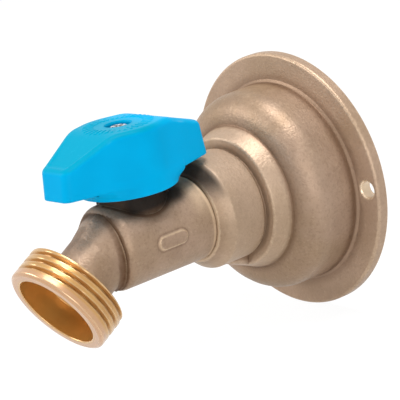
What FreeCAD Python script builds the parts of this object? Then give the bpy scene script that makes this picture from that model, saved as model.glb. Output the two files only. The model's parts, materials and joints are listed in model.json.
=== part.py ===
import FreeCAD, Part
import Sketcher
import math
import os
from types import SimpleNamespace

# Quarter-turn hose bibb with a domed wall flange.
#
# The wall is the plane y = 0 and the tap reaches out along -Y, with +Z up.
# The origin is the centre of the flange's flat back, on the axis of the pipe.
# Every piece is turned about one of three centre lines in the plane x = 0:
# the pipe line, the stem line (vertical) and the nozzle line (sloping down).

doc = FreeCAD.newDocument("hose_bibb")

# Driving sizes, in millimetres, with angles in degrees.
# A reach is a distance out from the wall, and a height is above the pipe line.
SIZES = {
    # Wall flange and its dome
    "flange_radius": 33.6,
    "flange_thick": 3.1,
    "flange_edge_round": 0.9,
    "screw_edge": 3.55,
    "screw_hole_radius": 2.15,
    "dome_base_radius": 26.1,
    "dome_crown_radius": 25.9,
    "dome_crown_reach": 17.2,
    "dome_crown_round": 6.5,
    "dome_foot_round": 0.8,
    "cast_wall": 3.0,
    # Step ring, groove and collar in front of the dome
    "step_back_radius": 18.0,
    "step_back_reach": 19.5,
    "step_front_radius": 16.8,
    "step_front_reach": 22.9,
    "step_foot_round": 1.6,
    "groove_radius": 13.6,
    "collar_back_reach": 23.8,
    "collar_radius": 14.3,
    "collar_front_reach": 33.2,
    "collar_round": 1.6,
    "seam_reach": 37.1,
    "seam_lip_radius": 11.3,
    "rib_width": 8.0,
    "rib_back_reach": 17.5,
    "rib_back_drop": 18.9,
    "rib_front_reach": 29.5,
    # Inlet hub behind the flange
    "inlet_bore_radius": 9.3,
    "inlet_bore_depth": 15.0,
    "inlet_hub_radius": 12.6,
    "inlet_hub_recess": 0.6,
    # Barrel and its joint with the flange casting
    "port_radius": 4.7,
    "barrel_radius": 10.85,
    "barrel_reach": 64.4,
    "barrel_end_round": 3.0,
    "barrel_lip": 0.45,
    "spigot_radius": 9.9,
    "spigot_length": 9.0,
    "thread_gap": 0.05,
    "joint_ring_wire": 1.5,
    # Ball, its chamber and its seats
    "ball_radius": 7.9,
    "chamber_gap": 0.3,
    "seat_length": 8.4,
    "seat_face_offset": 4.2,
    "seat_gap": 0.05,
    "ring_gap": 0.05,
    "seat_ring_wire": 1.1,
    "seat_back_wall": 0.4,
    "retainer_length": 4.0,
    "retainer_slot": 2.0,
    "retainer_bore": 6.0,
    "ball_slot_width": 3.2,
    "ball_slot_height": 5.5,
    # Stem line
    "stem_reach": 52.8,
    "stem_radius": 3.0,
    "running_gap": 0.06,
    "tang_gap": 0.1,
    "tang_side_gap": 0.5,
    "head_radius": 4.6,
    "head_bottom": 8.3,
    "bonnet_seat_height": 10.6,
    "thrust_washer_thick": 0.5,
    "stem_ring_wire": 0.9,
    "stem_ring_lower": 11.5,
    "stem_ring_upper": 12.95,
    "boss_radius": 8.0,
    "boss_top": 13.0,
    "boss_foot_round": 1.5,
    "packing_floor": 13.8,
    "packing_bore_radius": 4.3,
    "packing_washer_thick": 0.5,
    "packing_length": 1.9,
    "gland_radius": 5.6,
    "gland_top": 17.4,
    "follower_length": 1.7,
    "nut_across_flats": 13.0,
    "nut_cap_thick": 0.9,
    "nut_bottom": 13.3,
    "nut_bevel_angle": 30.0,
    # Handle
    "handle_top": 28.3,
    "hub_radius": 11.5,
    "hub_edge": 0.5,
    "skirt_radius": 12.2,
    "skirt_bottom": 12.6,
    "skirt_wall": 2.6,
    "wing_reach": 22.3,
    "wing_tip_reach": 21.6,
    "wing_tip_half_width": 4.9,
    "wing_tip_round": 2.6,
    "wing_bottom": 15.5,
    "wing_slope_start": 8.3,
    "wing_front_top": 22.2,
    "wing_rear_top": 23.9,
    "wing_slope_round": 9.0,
    "handle_edge_round": 0.6,
    "handle_nut_gap": 0.4,
    "wing_wall": 2.3,
    "wing_pocket_depth": 3.6,
    "wing_rib": 1.6,
    "wing_pocket_half_width": 5.2,
    "recess_radius": 3.5,
    "recess_floor": 24.9,
    "drive_flat": 2.2,
    "drive_gap": 0.08,
    "stem_top": 24.4,
    # Screw in the top of the handle
    "lock_washer_thick": 0.7,
    "split_gap": 0.5,
    "screw_head_radius": 3.0,
    "screw_head_height": 2.0,
    "screw_head_round": 0.8,
    "screw_shank_radius": 1.95,
    "screw_hole_gap": 0.05,
    "screw_hole_spare": 0.5,
    "screw_length": 8.8,
    "screw_tip_bevel": 0.6,
    "cross_width": 0.9,
    "cross_length": 3.6,
    "cross_depth": 1.2,
    # Quarter-turn stops
    "stop_height": 14.6,
    "stop_radius": 9.3,
    "stop_width": 20.0,
    "stop_gap": 1.5,
    "stop_run_gap": 0.25,
    "stop_root": 0.4,
    "quarter_turn": 90.0,
    # Nozzle and hose thread
    "elbow_reach": 63.1,
    "nozzle_angle": 30.0,
    "nozzle_length": 20.2,
    "neck_root": 5.0,
    "neck_foot_radius": 8.6,
    "neck_radius": 7.8,
    "neck_waist": 5.0,
    "neck_bore_radius": 5.6,
    "hose_thread_radius": 13.5,
    "hose_thread_length": 8.7,
    "hose_thread_pitch": 2.209,
    "hose_thread_depth": 1.4,
    "hose_thread_crest": 0.6,
    "hose_thread_root": 0.35,
    "hose_thread_chamfer": 0.8,
    "hose_thread_back_bevel": 0.4,
    "hose_thread_run_out": 0.3,
    "hose_thread_phase": 0.0,
    "cup_radius": 10.7,
    "cup_depth": 7.2,
    # Blank raised pads on the sides of the barrel
    "pad_height": 0.4,
    "pad_reach": 50.6,
    "pad_rise": 0.2,
    "pad_length": 9.0,
    "pad_width": 3.4,
}

sheet = doc.addObject("Spreadsheet::Sheet", "Sizes")
for row, (alias, number) in enumerate(SIZES.items(), 1):
    sheet.set("A%d" % row, alias)
    sheet.set("B%d" % row, str(number))
    sheet.setAlias("B%d" % row, alias)
doc.recompute()


class Term:
    """A number with the sheet formula it comes from, so that both stay together in sums."""

    def __init__(self, number, formula):
        self.number = float(number)
        self.formula = formula

    def __add__(self, other):
        other = term(other)
        return Term(self.number + other.number, "(%s + %s)" % (self.formula, other.formula))

    def __sub__(self, other):
        other = term(other)
        return Term(self.number - other.number, "(%s - %s)" % (self.formula, other.formula))

    def __mul__(self, other):
        other = term(other)
        return Term(self.number * other.number, "(%s * %s)" % (self.formula, other.formula))

    def __truediv__(self, other):
        other = term(other)
        return Term(self.number / other.number, "(%s / %s)" % (self.formula, other.formula))

    def __neg__(self):
        return Term(-self.number, "(0 - %s)" % self.formula)

    def __radd__(self, other):
        return term(other) + self

    def __rsub__(self, other):
        return term(other) - self

    def __rmul__(self, other):
        return term(other) * self


def term(value):
    """A plain number as a term. A term stays as it is."""
    return value if isinstance(value, Term) else Term(value, repr(float(value)))


def cosine(angle):
    """The cosine of an angle in degrees."""
    return Term(math.cos(math.radians(angle.number)), "cos(%s * 1 deg)" % angle.formula)


def sine(angle):
    """The sine of an angle in degrees."""
    return Term(math.sin(math.radians(angle.number)), "sin(%s * 1 deg)" % angle.formula)


size = SimpleNamespace(**{alias: Term(number, "Sizes." + alias) for alias, number in SIZES.items()})

# A centre line starts on the pipe line at a reach, and is turned from +Y in the plane x = 0.
HALF_TURN = 180
PIPE_LINE = (term(0), term(HALF_TURN))
STEM_LINE = (size.stem_reach, term(HALF_TURN / 2))
NOZZLE_LINE = (size.elbow_reach, HALF_TURN + size.nozzle_angle)


def bind(feature, path, value):
    """Sets one property of a feature, and ties it to the sheet."""
    feature.setExpression(path, term(value).formula)


def origin_plane(body, role):
    """One of the three planes through a body's own origin."""
    return [plane for plane in body.Origin.OriginFeatures if plane.Role == role][0]


def new_body(name):
    """An empty sub-part."""
    return doc.addObject("PartDesign::Body", name)


def side_sketch(body, name, line):
    """A sketch in the plane x = 0, whose own x runs along a centre line."""
    reach, turn = line
    sketch = body.newObject("Sketcher::SketchObject", name)
    sketch.AttachmentSupport = [(origin_plane(body, "YZ_Plane"), "")]
    sketch.MapMode = "FlatFace"
    place = FreeCAD.Vector(-reach.number, 0, 0)
    sketch.AttachmentOffset = FreeCAD.Placement(place, FreeCAD.Rotation(FreeCAD.Vector(0, 0, 1), turn.number))
    bind(sketch, "AttachmentOffset.Base.x", -reach)
    bind(sketch, "AttachmentOffset.Rotation.Angle", turn)
    return sketch


def level_sketch(body, name, height):
    """A sketch in a level plane over the stem line, whose x and y are those of the part."""
    sketch = body.newObject("Sketcher::SketchObject", name)
    sketch.AttachmentSupport = [(origin_plane(body, "XY_Plane"), "")]
    sketch.MapMode = "FlatFace"
    place = FreeCAD.Vector(0, -size.stem_reach.number, term(height).number)
    sketch.AttachmentOffset = FreeCAD.Placement(place, FreeCAD.Rotation())
    bind(sketch, "AttachmentOffset.Base.y", -size.stem_reach)
    bind(sketch, "AttachmentOffset.Base.z", height)
    return sketch


def measure(sketch, direction, geometry, vertex, value):
    """Holds a vertex at a distance from the sketch's origin."""
    value = term(value)
    number = sketch.addConstraint(Sketcher.Constraint(direction, -1, 1, geometry, vertex, value.number))
    sketch.setExpression("Constraints[%d]" % number, value.formula)


def polygon(sketch, points):
    """A closed outline of straight lines through points given as terms."""
    spots = [FreeCAD.Vector(term(x).number, term(y).number, 0) for x, y in points]
    first = sketch.GeometryCount
    for here, there in zip(spots, spots[1:] + spots[:1]):
        sketch.addGeometry(Part.LineSegment(here, there), False)
    for index, (x, y) in enumerate(points):
        before = first + (index - 1) % len(points)
        sketch.addConstraint(Sketcher.Constraint("Coincident", before, 2, first + index, 1))
        measure(sketch, "DistanceX", first + index, 1, x)
        measure(sketch, "DistanceY", first + index, 1, y)


def disc(sketch, x, y, radius):
    """A circle with its centre and radius tied to the sheet."""
    x, y, radius = term(x), term(y), term(radius)
    centre = FreeCAD.Vector(x.number, y.number, 0)
    index = sketch.addGeometry(Part.Circle(centre, FreeCAD.Vector(0, 0, 1), radius.number), False)
    measure(sketch, "DistanceX", index, 3, x)
    measure(sketch, "DistanceY", index, 3, y)
    number = sketch.addConstraint(Sketcher.Constraint("Radius", index, radius.number))
    sketch.setExpression("Constraints[%d]" % number, radius.formula)


def slot_outline(sketch, x, y, length, width):
    """A bar with round ends, along the sketch's own x."""
    radius = width / 2
    up = FreeCAD.Vector(0, 0, 1)
    ends = []
    for side in (1, -1):
        centre_x = x + side * (length / 2 - radius)
        centre = FreeCAD.Vector(centre_x.number, y.number, 0)
        turn = -math.pi / 2 if side > 0 else math.pi / 2
        arc = Part.ArcOfCircle(Part.Circle(centre, up, radius.number), turn, turn + math.pi)
        index = sketch.addGeometry(arc, False)
        measure(sketch, "DistanceX", index, 3, centre_x)
        measure(sketch, "DistanceY", index, 3, y)
        number = sketch.addConstraint(Sketcher.Constraint("Radius", index, radius.number))
        sketch.setExpression("Constraints[%d]" % number, radius.formula)
        ends.append((index, arc))
    (right, right_arc), (left, left_arc) = ends
    top = sketch.addGeometry(Part.LineSegment(right_arc.EndPoint, left_arc.StartPoint), False)
    low = sketch.addGeometry(Part.LineSegment(left_arc.EndPoint, right_arc.StartPoint), False)
    sketch.addConstraint(Sketcher.Constraint("Tangent", right, 2, top, 1))
    sketch.addConstraint(Sketcher.Constraint("Tangent", top, 2, left, 1))
    sketch.addConstraint(Sketcher.Constraint("Tangent", left, 2, low, 1))
    sketch.addConstraint(Sketcher.Constraint("Tangent", low, 2, right, 1))


def turned(body, name, line, points, cut=False):
    """A solid of revolution, or a turned cut, from an outline of places along a line and radii."""
    sketch = side_sketch(body, name + "_outline", line)
    polygon(sketch, points)
    kind = "PartDesign::Groove" if cut else "PartDesign::Revolution"
    feature = body.newObject(kind, name)
    feature.Profile = sketch
    feature.ReferenceAxis = (sketch, ["H_Axis"])
    feature.Angle = 360
    return feature


def bore(body, name, line, start, end, radius):
    """A round hole along a centre line."""
    return turned(body, name, line, [(start, 0), (end, 0), (end, radius), (start, radius)], cut=True)


def extruded(body, name, sketch, depth, cut=False, up=False, both_ways=False):
    """A pad upwards, or a pocket downwards unless it is to go up, of a sketch that is already drawn."""
    feature = body.newObject("PartDesign::Pocket" if cut else "PartDesign::Pad", name)
    feature.Profile = sketch
    feature.Type = "Length"
    bind(feature, "Length", depth)
    feature.Midplane = both_ways
    feature.Reversed = cut and up
    return feature


def circle_edges(feature, line, spots):
    """Names of the round edges about a centre line, from their places along it and radii."""
    doc.recompute()
    reach, turn = line
    start = FreeCAD.Vector(0, -reach.number, 0)
    angle = math.radians(turn.number)
    along = FreeCAD.Vector(0, math.cos(angle), math.sin(angle))
    names = []
    for number, edge in enumerate(feature.Shape.Edges, 1):
        if not isinstance(edge.Curve, Part.Circle):
            continue
        place = (edge.Curve.Center - start).dot(along)
        offset = (edge.Curve.Center - start - along * place).Length
        for spot, radius in spots:
            near = abs(place - term(spot).number) + abs(edge.Curve.Radius - term(radius).number) + offset
            if near < EDGE_MATCH:
                names.append("Edge%d" % number)
    return names


def edges_where(feature, test):
    """Names of a feature's edges that pass a test."""
    doc.recompute()
    return ["Edge%d" % number for number, edge in enumerate(feature.Shape.Edges, 1) if test(edge)]


def rounded(body, name, names, radius, kind="PartDesign::Fillet"):
    """Rounds or bevels named edges of the body as it is so far."""
    base = body.Tip
    feature = body.newObject(kind, name)
    feature.Base = (base, names)
    bind(feature, "Radius" if kind.endswith("Fillet") else "Size", radius)
    return feature


# How near an edge is to where it is looked for, and how far a cut runs past a face
EDGE_MATCH = 0.02
SPARE = 1.0
NUT_SIDES = 6


def block(name, low, high):
    """A box between two corners."""
    box = doc.addObject("Part::Box", name)
    for axis, side, start, end in zip("xyz", ("Length", "Width", "Height"), low, high):
        bind(box, side, term(end) - start)
        bind(box, "Placement.Base." + axis, start)
    return box


def upright(name, radius, bottom, top, start_angle=None, sweep=None):
    """A cylinder, or a sector of one, that stands on the stem line."""
    rod = doc.addObject("Part::Cylinder", name)
    bind(rod, "Radius", radius)
    bind(rod, "Height", term(top) - bottom)
    if sweep is not None:
        bind(rod, "Angle", sweep)
        rod.Placement.Rotation = FreeCAD.Rotation(FreeCAD.Vector(0, 0, 1), term(start_angle).number)
        bind(rod, "Placement.Rotation.Angle", start_angle)
    bind(rod, "Placement.Base.y", -size.stem_reach)
    bind(rod, "Placement.Base.z", bottom)
    return rod


def sector(name, inner, outer, bottom, top, start_angle, sweep):
    """A piece of a ring wall that stands on the stem line."""
    cut = doc.addObject("Part::Cut", name)
    cut.Base = upright(name + "_outside", outer, bottom, top, start_angle, sweep)
    cut.Tool = upright(name + "_inside", inner, bottom, top)
    return cut


def joined(name, pieces):
    """One solid made of several."""
    fuse = doc.addObject("Part::MultiFuse", name)
    fuse.Shapes = pieces
    fuse.Refine = True
    return fuse


def hoop(name, line, place, radius, wire):
    """A round sealing ring about a centre line."""
    reach, turn = line
    ring = doc.addObject("Part::Torus", name)
    bind(ring, "Radius1", radius)
    bind(ring, "Radius2", term(wire) / 2)
    angle = math.radians(turn.number)
    spot = FreeCAD.Vector(0, -reach.number + term(place).number * math.cos(angle),
                          term(place).number * math.sin(angle))
    ring.Placement = FreeCAD.Placement(spot, FreeCAD.Rotation(FreeCAD.Vector(1, 0, 0), turn.number - 90))
    bind(ring, "Placement.Base.y", term(place) * cosine(turn) - reach)
    bind(ring, "Placement.Base.z", term(place) * sine(turn))
    return ring


parts = {}

# Shared places worked out from the driving sizes
chamber_radius = size.ball_radius + size.chamber_gap
seat_radius = chamber_radius - size.ring_gap
spigot_back_reach = size.seam_reach - size.spigot_length
spigot_bore_radius = size.spigot_radius + size.thread_gap
joint_floor_reach = spigot_back_reach - size.joint_ring_wire
outlet_seat_reach = size.stem_reach + size.seat_length
inlet_seat_reach = size.stem_reach - size.seat_length
stem_bore_radius = size.stem_radius + size.running_gap
washer_bore_radius = stem_bore_radius
thrust_washer_bottom = size.bonnet_seat_height - size.thrust_washer_thick
head_top = thrust_washer_bottom - size.running_gap
head_bore_radius = size.head_radius + 2 * size.running_gap
packing_bottom = size.packing_floor + size.packing_washer_thick
follower_bottom = packing_bottom + size.packing_length
follower_top = follower_bottom + size.follower_length
nut_top = follower_top + size.nut_cap_thick
skirt_inner_radius = size.skirt_radius - size.skirt_wall
cavity_top = nut_top + size.handle_nut_gap
washer_top = size.recess_floor + size.lock_washer_thick
drive_bottom = nut_top + size.thread_gap
screw_tip = washer_top - size.screw_length
thread_back = size.nozzle_length - size.hose_thread_length
cup_floor = size.nozzle_length - size.cup_depth


# Wall flange: rim, dome, step ring, collar and inlet hub in one bronze casting
def make_wall_flange():
    body = new_body("wall_flange_casting")
    dome_inner_radius = size.dome_crown_radius - size.cast_wall
    dome_inner_reach = size.dome_crown_reach - size.cast_wall
    hollow_floor = size.step_back_reach - size.cast_wall
    lip_reach = size.seam_reach - size.barrel_lip
    shell = turned(body, "Shell", PIPE_LINE, [
        (0, size.flange_radius),
        (size.flange_thick, size.flange_radius),
        (size.flange_thick, size.dome_base_radius),
        (size.dome_crown_reach, size.dome_crown_radius),
        (size.step_back_reach, size.step_back_radius),
        (size.step_front_reach, size.step_front_radius),
        (size.step_front_reach, size.groove_radius),
        (size.collar_back_reach, size.groove_radius),
        (size.collar_back_reach, size.collar_radius),
        (size.collar_front_reach, size.collar_radius),
        (lip_reach, size.seam_lip_radius),
        (lip_reach, spigot_bore_radius),
        (joint_floor_reach, spigot_bore_radius),
        (joint_floor_reach, size.port_radius),
        (size.inlet_bore_depth, size.port_radius),
        (size.inlet_bore_depth, size.inlet_bore_radius),
        (size.inlet_hub_recess, size.inlet_bore_radius),
        (size.inlet_hub_recess, size.inlet_hub_radius),
        (hollow_floor, size.inlet_hub_radius),
        (hollow_floor, size.step_back_radius - size.cast_wall),
        (dome_inner_reach, dome_inner_radius),
        (0, size.dome_base_radius - size.cast_wall),
    ])
    crown = circle_edges(shell, PIPE_LINE, [(size.dome_crown_reach, size.dome_crown_radius)])
    rounded(body, "DomeCrown", crown, size.dome_crown_round)
    inner = circle_edges(body.Tip, PIPE_LINE, [(dome_inner_reach, dome_inner_radius)])
    rounded(body, "DomeInside", inner, size.dome_crown_round - size.cast_wall)
    foot = circle_edges(body.Tip, PIPE_LINE, [(size.step_back_reach, size.step_back_radius)])
    rounded(body, "StepFoot", foot, size.step_foot_round)
    edges = circle_edges(body.Tip, PIPE_LINE, [(size.flange_thick, size.flange_radius)])
    rounded(body, "RimEdge", edges, size.flange_edge_round)
    edges = circle_edges(body.Tip, PIPE_LINE, [
        (size.step_front_reach, size.step_front_radius),
        (size.flange_thick, size.dome_base_radius),
    ])
    rounded(body, "StepEdge", edges, size.dome_foot_round)
    edges = circle_edges(body.Tip, PIPE_LINE, [(size.collar_front_reach, size.collar_radius)])
    rounded(body, "CollarEdge", edges, size.collar_round)

    # The rib under the neck stands in the plane x = 0 and is cut back to the bore
    sketch = side_sketch(body, "Rib_outline", PIPE_LINE)
    polygon(sketch, [
        (size.rib_back_reach, size.groove_radius - SPARE),
        (size.rib_front_reach, size.groove_radius - SPARE),
        (size.rib_front_reach, size.collar_radius),
        (size.rib_back_reach, size.rib_back_drop),
    ])
    extruded(body, "Rib", sketch, size.rib_width, both_ways=True)

    # Two screw holes on the level diameter
    sketch = body.newObject("Sketcher::SketchObject", "Screw_holes_outline")
    sketch.AttachmentSupport = [(origin_plane(body, "XZ_Plane"), "")]
    sketch.MapMode = "FlatFace"
    screw_offset = size.flange_radius - size.screw_edge
    disc(sketch, screw_offset, 0, size.screw_hole_radius)
    disc(sketch, -screw_offset, 0, size.screw_hole_radius)
    holes = body.newObject("PartDesign::Pocket", "Screw_holes")
    holes.Profile = sketch
    holes.Type = "ThroughAll"
    holes.Midplane = True
    return body


def boss_foot(edge):
    """Whether an edge is where the bonnet boss runs into the barrel."""
    plain = isinstance(edge.Curve, (Part.Circle, Part.Line))
    centre = edge.BoundBox.Center
    off_line = math.hypot(centre.x, centre.y + size.stem_reach.number)
    return not plain and edge.BoundBox.ZMin > 0 and off_line < size.boss_radius.number + SPARE


# Valve body: barrel, bonnet boss, elbow and hose nozzle in one bronze casting
def make_valve_body():
    body = new_body("valve_body_casting")
    turned(body, "Barrel", PIPE_LINE, [
        (spigot_back_reach, 0),
        (spigot_back_reach, size.spigot_radius),
        (size.seam_reach, size.spigot_radius),
        (size.seam_reach, size.barrel_radius),
        (size.barrel_reach, size.barrel_radius),
        (size.barrel_reach, 0),
    ])
    end = circle_edges(body.Tip, PIPE_LINE, [(size.barrel_reach, size.barrel_radius)])
    rounded(body, "BarrelEnd", end, size.barrel_end_round)
    turned(body, "Boss", STEM_LINE, [
        (0, 0),
        (0, size.boss_radius),
        (size.boss_top, size.boss_radius),
        (size.boss_top, size.gland_radius),
        (size.gland_top, size.gland_radius),
        (size.gland_top, 0),
    ])
    rounded(body, "BossFoot", edges_where(body.Tip, boss_foot), size.boss_foot_round)
    turned(body, "Nozzle", NOZZLE_LINE, [
        (-size.neck_root, 0),
        (-size.neck_root, size.neck_foot_radius),
        (size.neck_waist / 2, size.neck_foot_radius),
        (size.neck_waist, size.neck_radius),
        (thread_back, size.neck_radius),
        (thread_back, size.hose_thread_radius - size.hose_thread_depth),
        (thread_back + size.hose_thread_back_bevel, size.hose_thread_radius),
        (size.nozzle_length - size.hose_thread_chamfer, size.hose_thread_radius),
        (size.nozzle_length, size.hose_thread_radius - size.hose_thread_chamfer),
        (size.nozzle_length, 0),
    ])

    # Blank raised pads on both sides of the barrel
    sketch = side_sketch(body, "Pads_outline", PIPE_LINE)
    slot_outline(sketch, size.pad_reach, -size.pad_rise, size.pad_length, size.pad_width)
    extruded(body, "Pads", sketch, 2 * (size.barrel_radius + size.pad_height), both_ways=True)

    # Waterway, ball chamber, cup of the nozzle, and the stem's stepped bore
    bore(body, "Chamber", PIPE_LINE, spigot_back_reach - SPARE, outlet_seat_reach, chamber_radius)
    bore(body, "Outlet_way", PIPE_LINE, outlet_seat_reach - SPARE, size.elbow_reach, size.port_radius)
    bore(body, "Neck_way", NOZZLE_LINE, 0, size.nozzle_length, size.neck_bore_radius)
    bore(body, "Cup", NOZZLE_LINE, cup_floor, size.nozzle_length + SPARE, size.cup_radius)
    turned(body, "Stem_way", STEM_LINE, [
        (0, 0),
        (0, head_bore_radius),
        (size.bonnet_seat_height, head_bore_radius),
        (size.bonnet_seat_height, stem_bore_radius),
        (size.packing_floor, stem_bore_radius),
        (size.packing_floor, size.packing_bore_radius),
        (size.gland_top + SPARE, size.packing_bore_radius),
        (size.gland_top + SPARE, 0),
    ], cut=True)

    # Hose thread, cut as a helix about the nozzle line
    sketch = side_sketch(body, "Thread_outline", NOZZLE_LINE)
    root = size.hose_thread_radius - size.hose_thread_depth
    crest = size.hose_thread_radius + size.hose_thread_run_out
    half_mouth = (size.hose_thread_pitch - size.hose_thread_crest) / 2 + size.hose_thread_run_out / 2
    start = thread_back - size.hose_thread_pitch + size.hose_thread_phase
    polygon(sketch, [
        (start - size.hose_thread_root / 2, root),
        (start + size.hose_thread_root / 2, root),
        (start + half_mouth, crest),
        (start - half_mouth, crest),
    ])
    thread = body.newObject("PartDesign::SubtractiveHelix", "Thread")
    thread.Profile = sketch
    thread.ReferenceAxis = (sketch, ["H_Axis"])
    thread.Mode = 0
    bind(thread, "Pitch", size.hose_thread_pitch)
    bind(thread, "Height", size.hose_thread_length + size.hose_thread_pitch)

    # Quarter-turn stops beside the boss, one past each end of the tab's travel
    half_tab = size.stop_width / 2
    starts = {
        "open_stop": HALF_TURN + half_tab + size.stop_gap,
        "shut_stop": HALF_TURN - size.quarter_turn - half_tab - size.stop_gap - size.stop_width,
    }
    stops = [sector(name, size.boss_radius - size.stop_root, size.stop_radius, size.head_bottom,
                    size.stop_height, start, size.stop_width) for name, start in starts.items()]
    return joined("valve_body", [body] + stops)


def turned_ring(name, line, start, end, outer, inner):
    """A plain ring about a centre line."""
    body = new_body(name)
    turned(body, name + "_ring", line, [(start, inner), (start, outer), (end, outer), (end, inner)])
    return body


def cut_from(name, piece, tool):
    """One shape less another."""
    cut = doc.addObject("Part::Cut", name)
    cut.Base = piece
    cut.Tool = tool
    return cut


def shared(name, piece, other):
    """What two shapes have in common."""
    common = doc.addObject("Part::Common", name)
    common.Base = piece
    common.Tool = other
    return common


def ball_shape(name, radius):
    """A sphere about the point where the stem line crosses the pipe line."""
    sphere = doc.addObject("Part::Sphere", name)
    bind(sphere, "Radius", radius)
    bind(sphere, "Placement.Base.y", -size.stem_reach)
    return sphere


def drive(name, gap, bottom, top):
    """The two-flatted shape by which the stem turns the handle."""
    rod = upright(name + "_round", size.stem_radius + gap, bottom, top)
    reach = size.stem_reach + size.stem_radius * 2
    flats = block(name + "_flats", (-size.drive_flat - gap, -reach, bottom),
                  (size.drive_flat + gap, size.stem_radius * 2 - size.stem_reach, top))
    return shared(name, rod, flats)


def make_ball():
    """Chromed ball with its port and the slot that the stem turns it by."""
    sphere = ball_shape("ball_blank", size.ball_radius)
    port = doc.addObject("Part::Cylinder", "ball_port")
    bind(port, "Radius", size.port_radius)
    bind(port, "Height", size.ball_radius * 4)
    port.Placement.Rotation = FreeCAD.Rotation(FreeCAD.Vector(1, 0, 0), 90)
    bind(port, "Placement.Base.y", size.ball_radius * 2 - size.stem_reach)
    slot = block("ball_slot",
                 (-size.ball_radius * 2, -size.stem_reach - size.ball_slot_width / 2, size.ball_slot_height),
                 (size.ball_radius * 2, size.ball_slot_width / 2 - size.stem_reach, size.ball_radius * 2))
    return cut_from("ball", cut_from("ball_bored", sphere, port), slot)


def make_seat(name, back, face, groove):
    """Moulded seat ring, hollowed to fit the ball, with a groove for its sealing ring."""
    half_groove = size.seat_ring_wire / 2 + size.ring_gap * 2
    floor = chamber_radius - size.seat_ring_wire - size.ring_gap * 2
    body = new_body(name + "_moulding")
    low, high = (back, face) if back.number < face.number else (face, back)
    turned(body, name + "_ring", PIPE_LINE, [
        (low, size.port_radius),
        (low, seat_radius),
        (groove - half_groove, seat_radius),
        (groove - half_groove, floor),
        (groove + half_groove, floor),
        (groove + half_groove, seat_radius),
        (high, seat_radius),
        (high, size.port_radius),
    ])
    return cut_from(name, body, ball_shape(name + "_hollow", size.ball_radius + size.seat_gap))


def make_retainer():
    """Threaded ring that holds the seats against the ball, with a spanner slot across its back."""
    back = inlet_seat_reach - size.retainer_length
    ring = turned_ring("retainer_ring", PIPE_LINE, back, inlet_seat_reach, seat_radius, size.retainer_bore)
    slot = block("retainer_slot",
                 (-chamber_radius, -back - size.retainer_slot, -size.retainer_slot / 2),
                 (chamber_radius, size.retainer_slot - back, size.retainer_slot / 2))
    return cut_from("seat_retainer", ring, slot)


def make_stem():
    """Stem with a blow-out shoulder, two ring grooves, a tang below and two flats above."""
    body = new_body("stem_turning")
    half_groove = size.stem_ring_wire / 2 + size.ring_gap * 2
    floor = stem_bore_radius - size.stem_ring_wire - size.ring_gap * 2
    outline = [
        (size.head_bottom, 0),
        (size.head_bottom, size.head_radius),
        (head_top, size.head_radius),
        (head_top, size.stem_radius),
    ]
    for place in (size.stem_ring_lower, size.stem_ring_upper):
        outline += [
            (place - half_groove, size.stem_radius),
            (place - half_groove, floor),
            (place + half_groove, floor),
            (place + half_groove, size.stem_radius),
        ]
    outline += [(drive_bottom, size.stem_radius), (drive_bottom, 0)]
    turned(body, "Stem_body", STEM_LINE, outline)
    half_tang = size.ball_slot_width / 2 - size.tang_gap
    tang_reach = size.seat_face_offset - size.tang_side_gap
    tang = block("stem_tang",
                 (-tang_reach, -size.stem_reach - half_tang, size.ball_slot_height + size.tang_gap),
                 (tang_reach, half_tang - size.stem_reach, size.head_bottom))
    flats = drive("stem_drive", term(0), drive_bottom, size.stem_top)
    solid = joined("stem_solid", [body, tang, flats])
    hole = upright("screw_hole", size.screw_shank_radius + size.screw_hole_gap,
                   screw_tip - size.screw_hole_spare, size.stem_top + SPARE)
    return cut_from("stem", solid, hole)


def make_packing_nut():
    """Hexagon nut that presses the gland down, bevelled at its top corners."""
    corner = size.nut_across_flats / 2 / cosine(term(HALF_TURN / NUT_SIDES))
    bevel = corner + SPARE - size.nut_across_flats / 2
    blank = doc.addObject("Part::Prism", "nut_blank")
    blank.Polygon = NUT_SIDES
    bind(blank, "Circumradius", corner)
    bind(blank, "Height", nut_top - size.nut_bottom)
    bind(blank, "Placement.Base.y", -size.stem_reach)
    bind(blank, "Placement.Base.z", size.nut_bottom)
    body = new_body("nut_turning")
    turned(body, "Nut_turned", STEM_LINE, [
        (size.nut_bottom, size.gland_radius + size.thread_gap),
        (size.nut_bottom, corner + SPARE),
        (nut_top - bevel * sine(size.nut_bevel_angle) / cosine(size.nut_bevel_angle), corner + SPARE),
        (nut_top, size.nut_across_flats / 2),
        (nut_top, washer_bore_radius),
        (follower_top, washer_bore_radius),
        (follower_top, size.gland_radius + size.thread_gap),
    ])
    return shared("packing_nut", body, blank)


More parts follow.
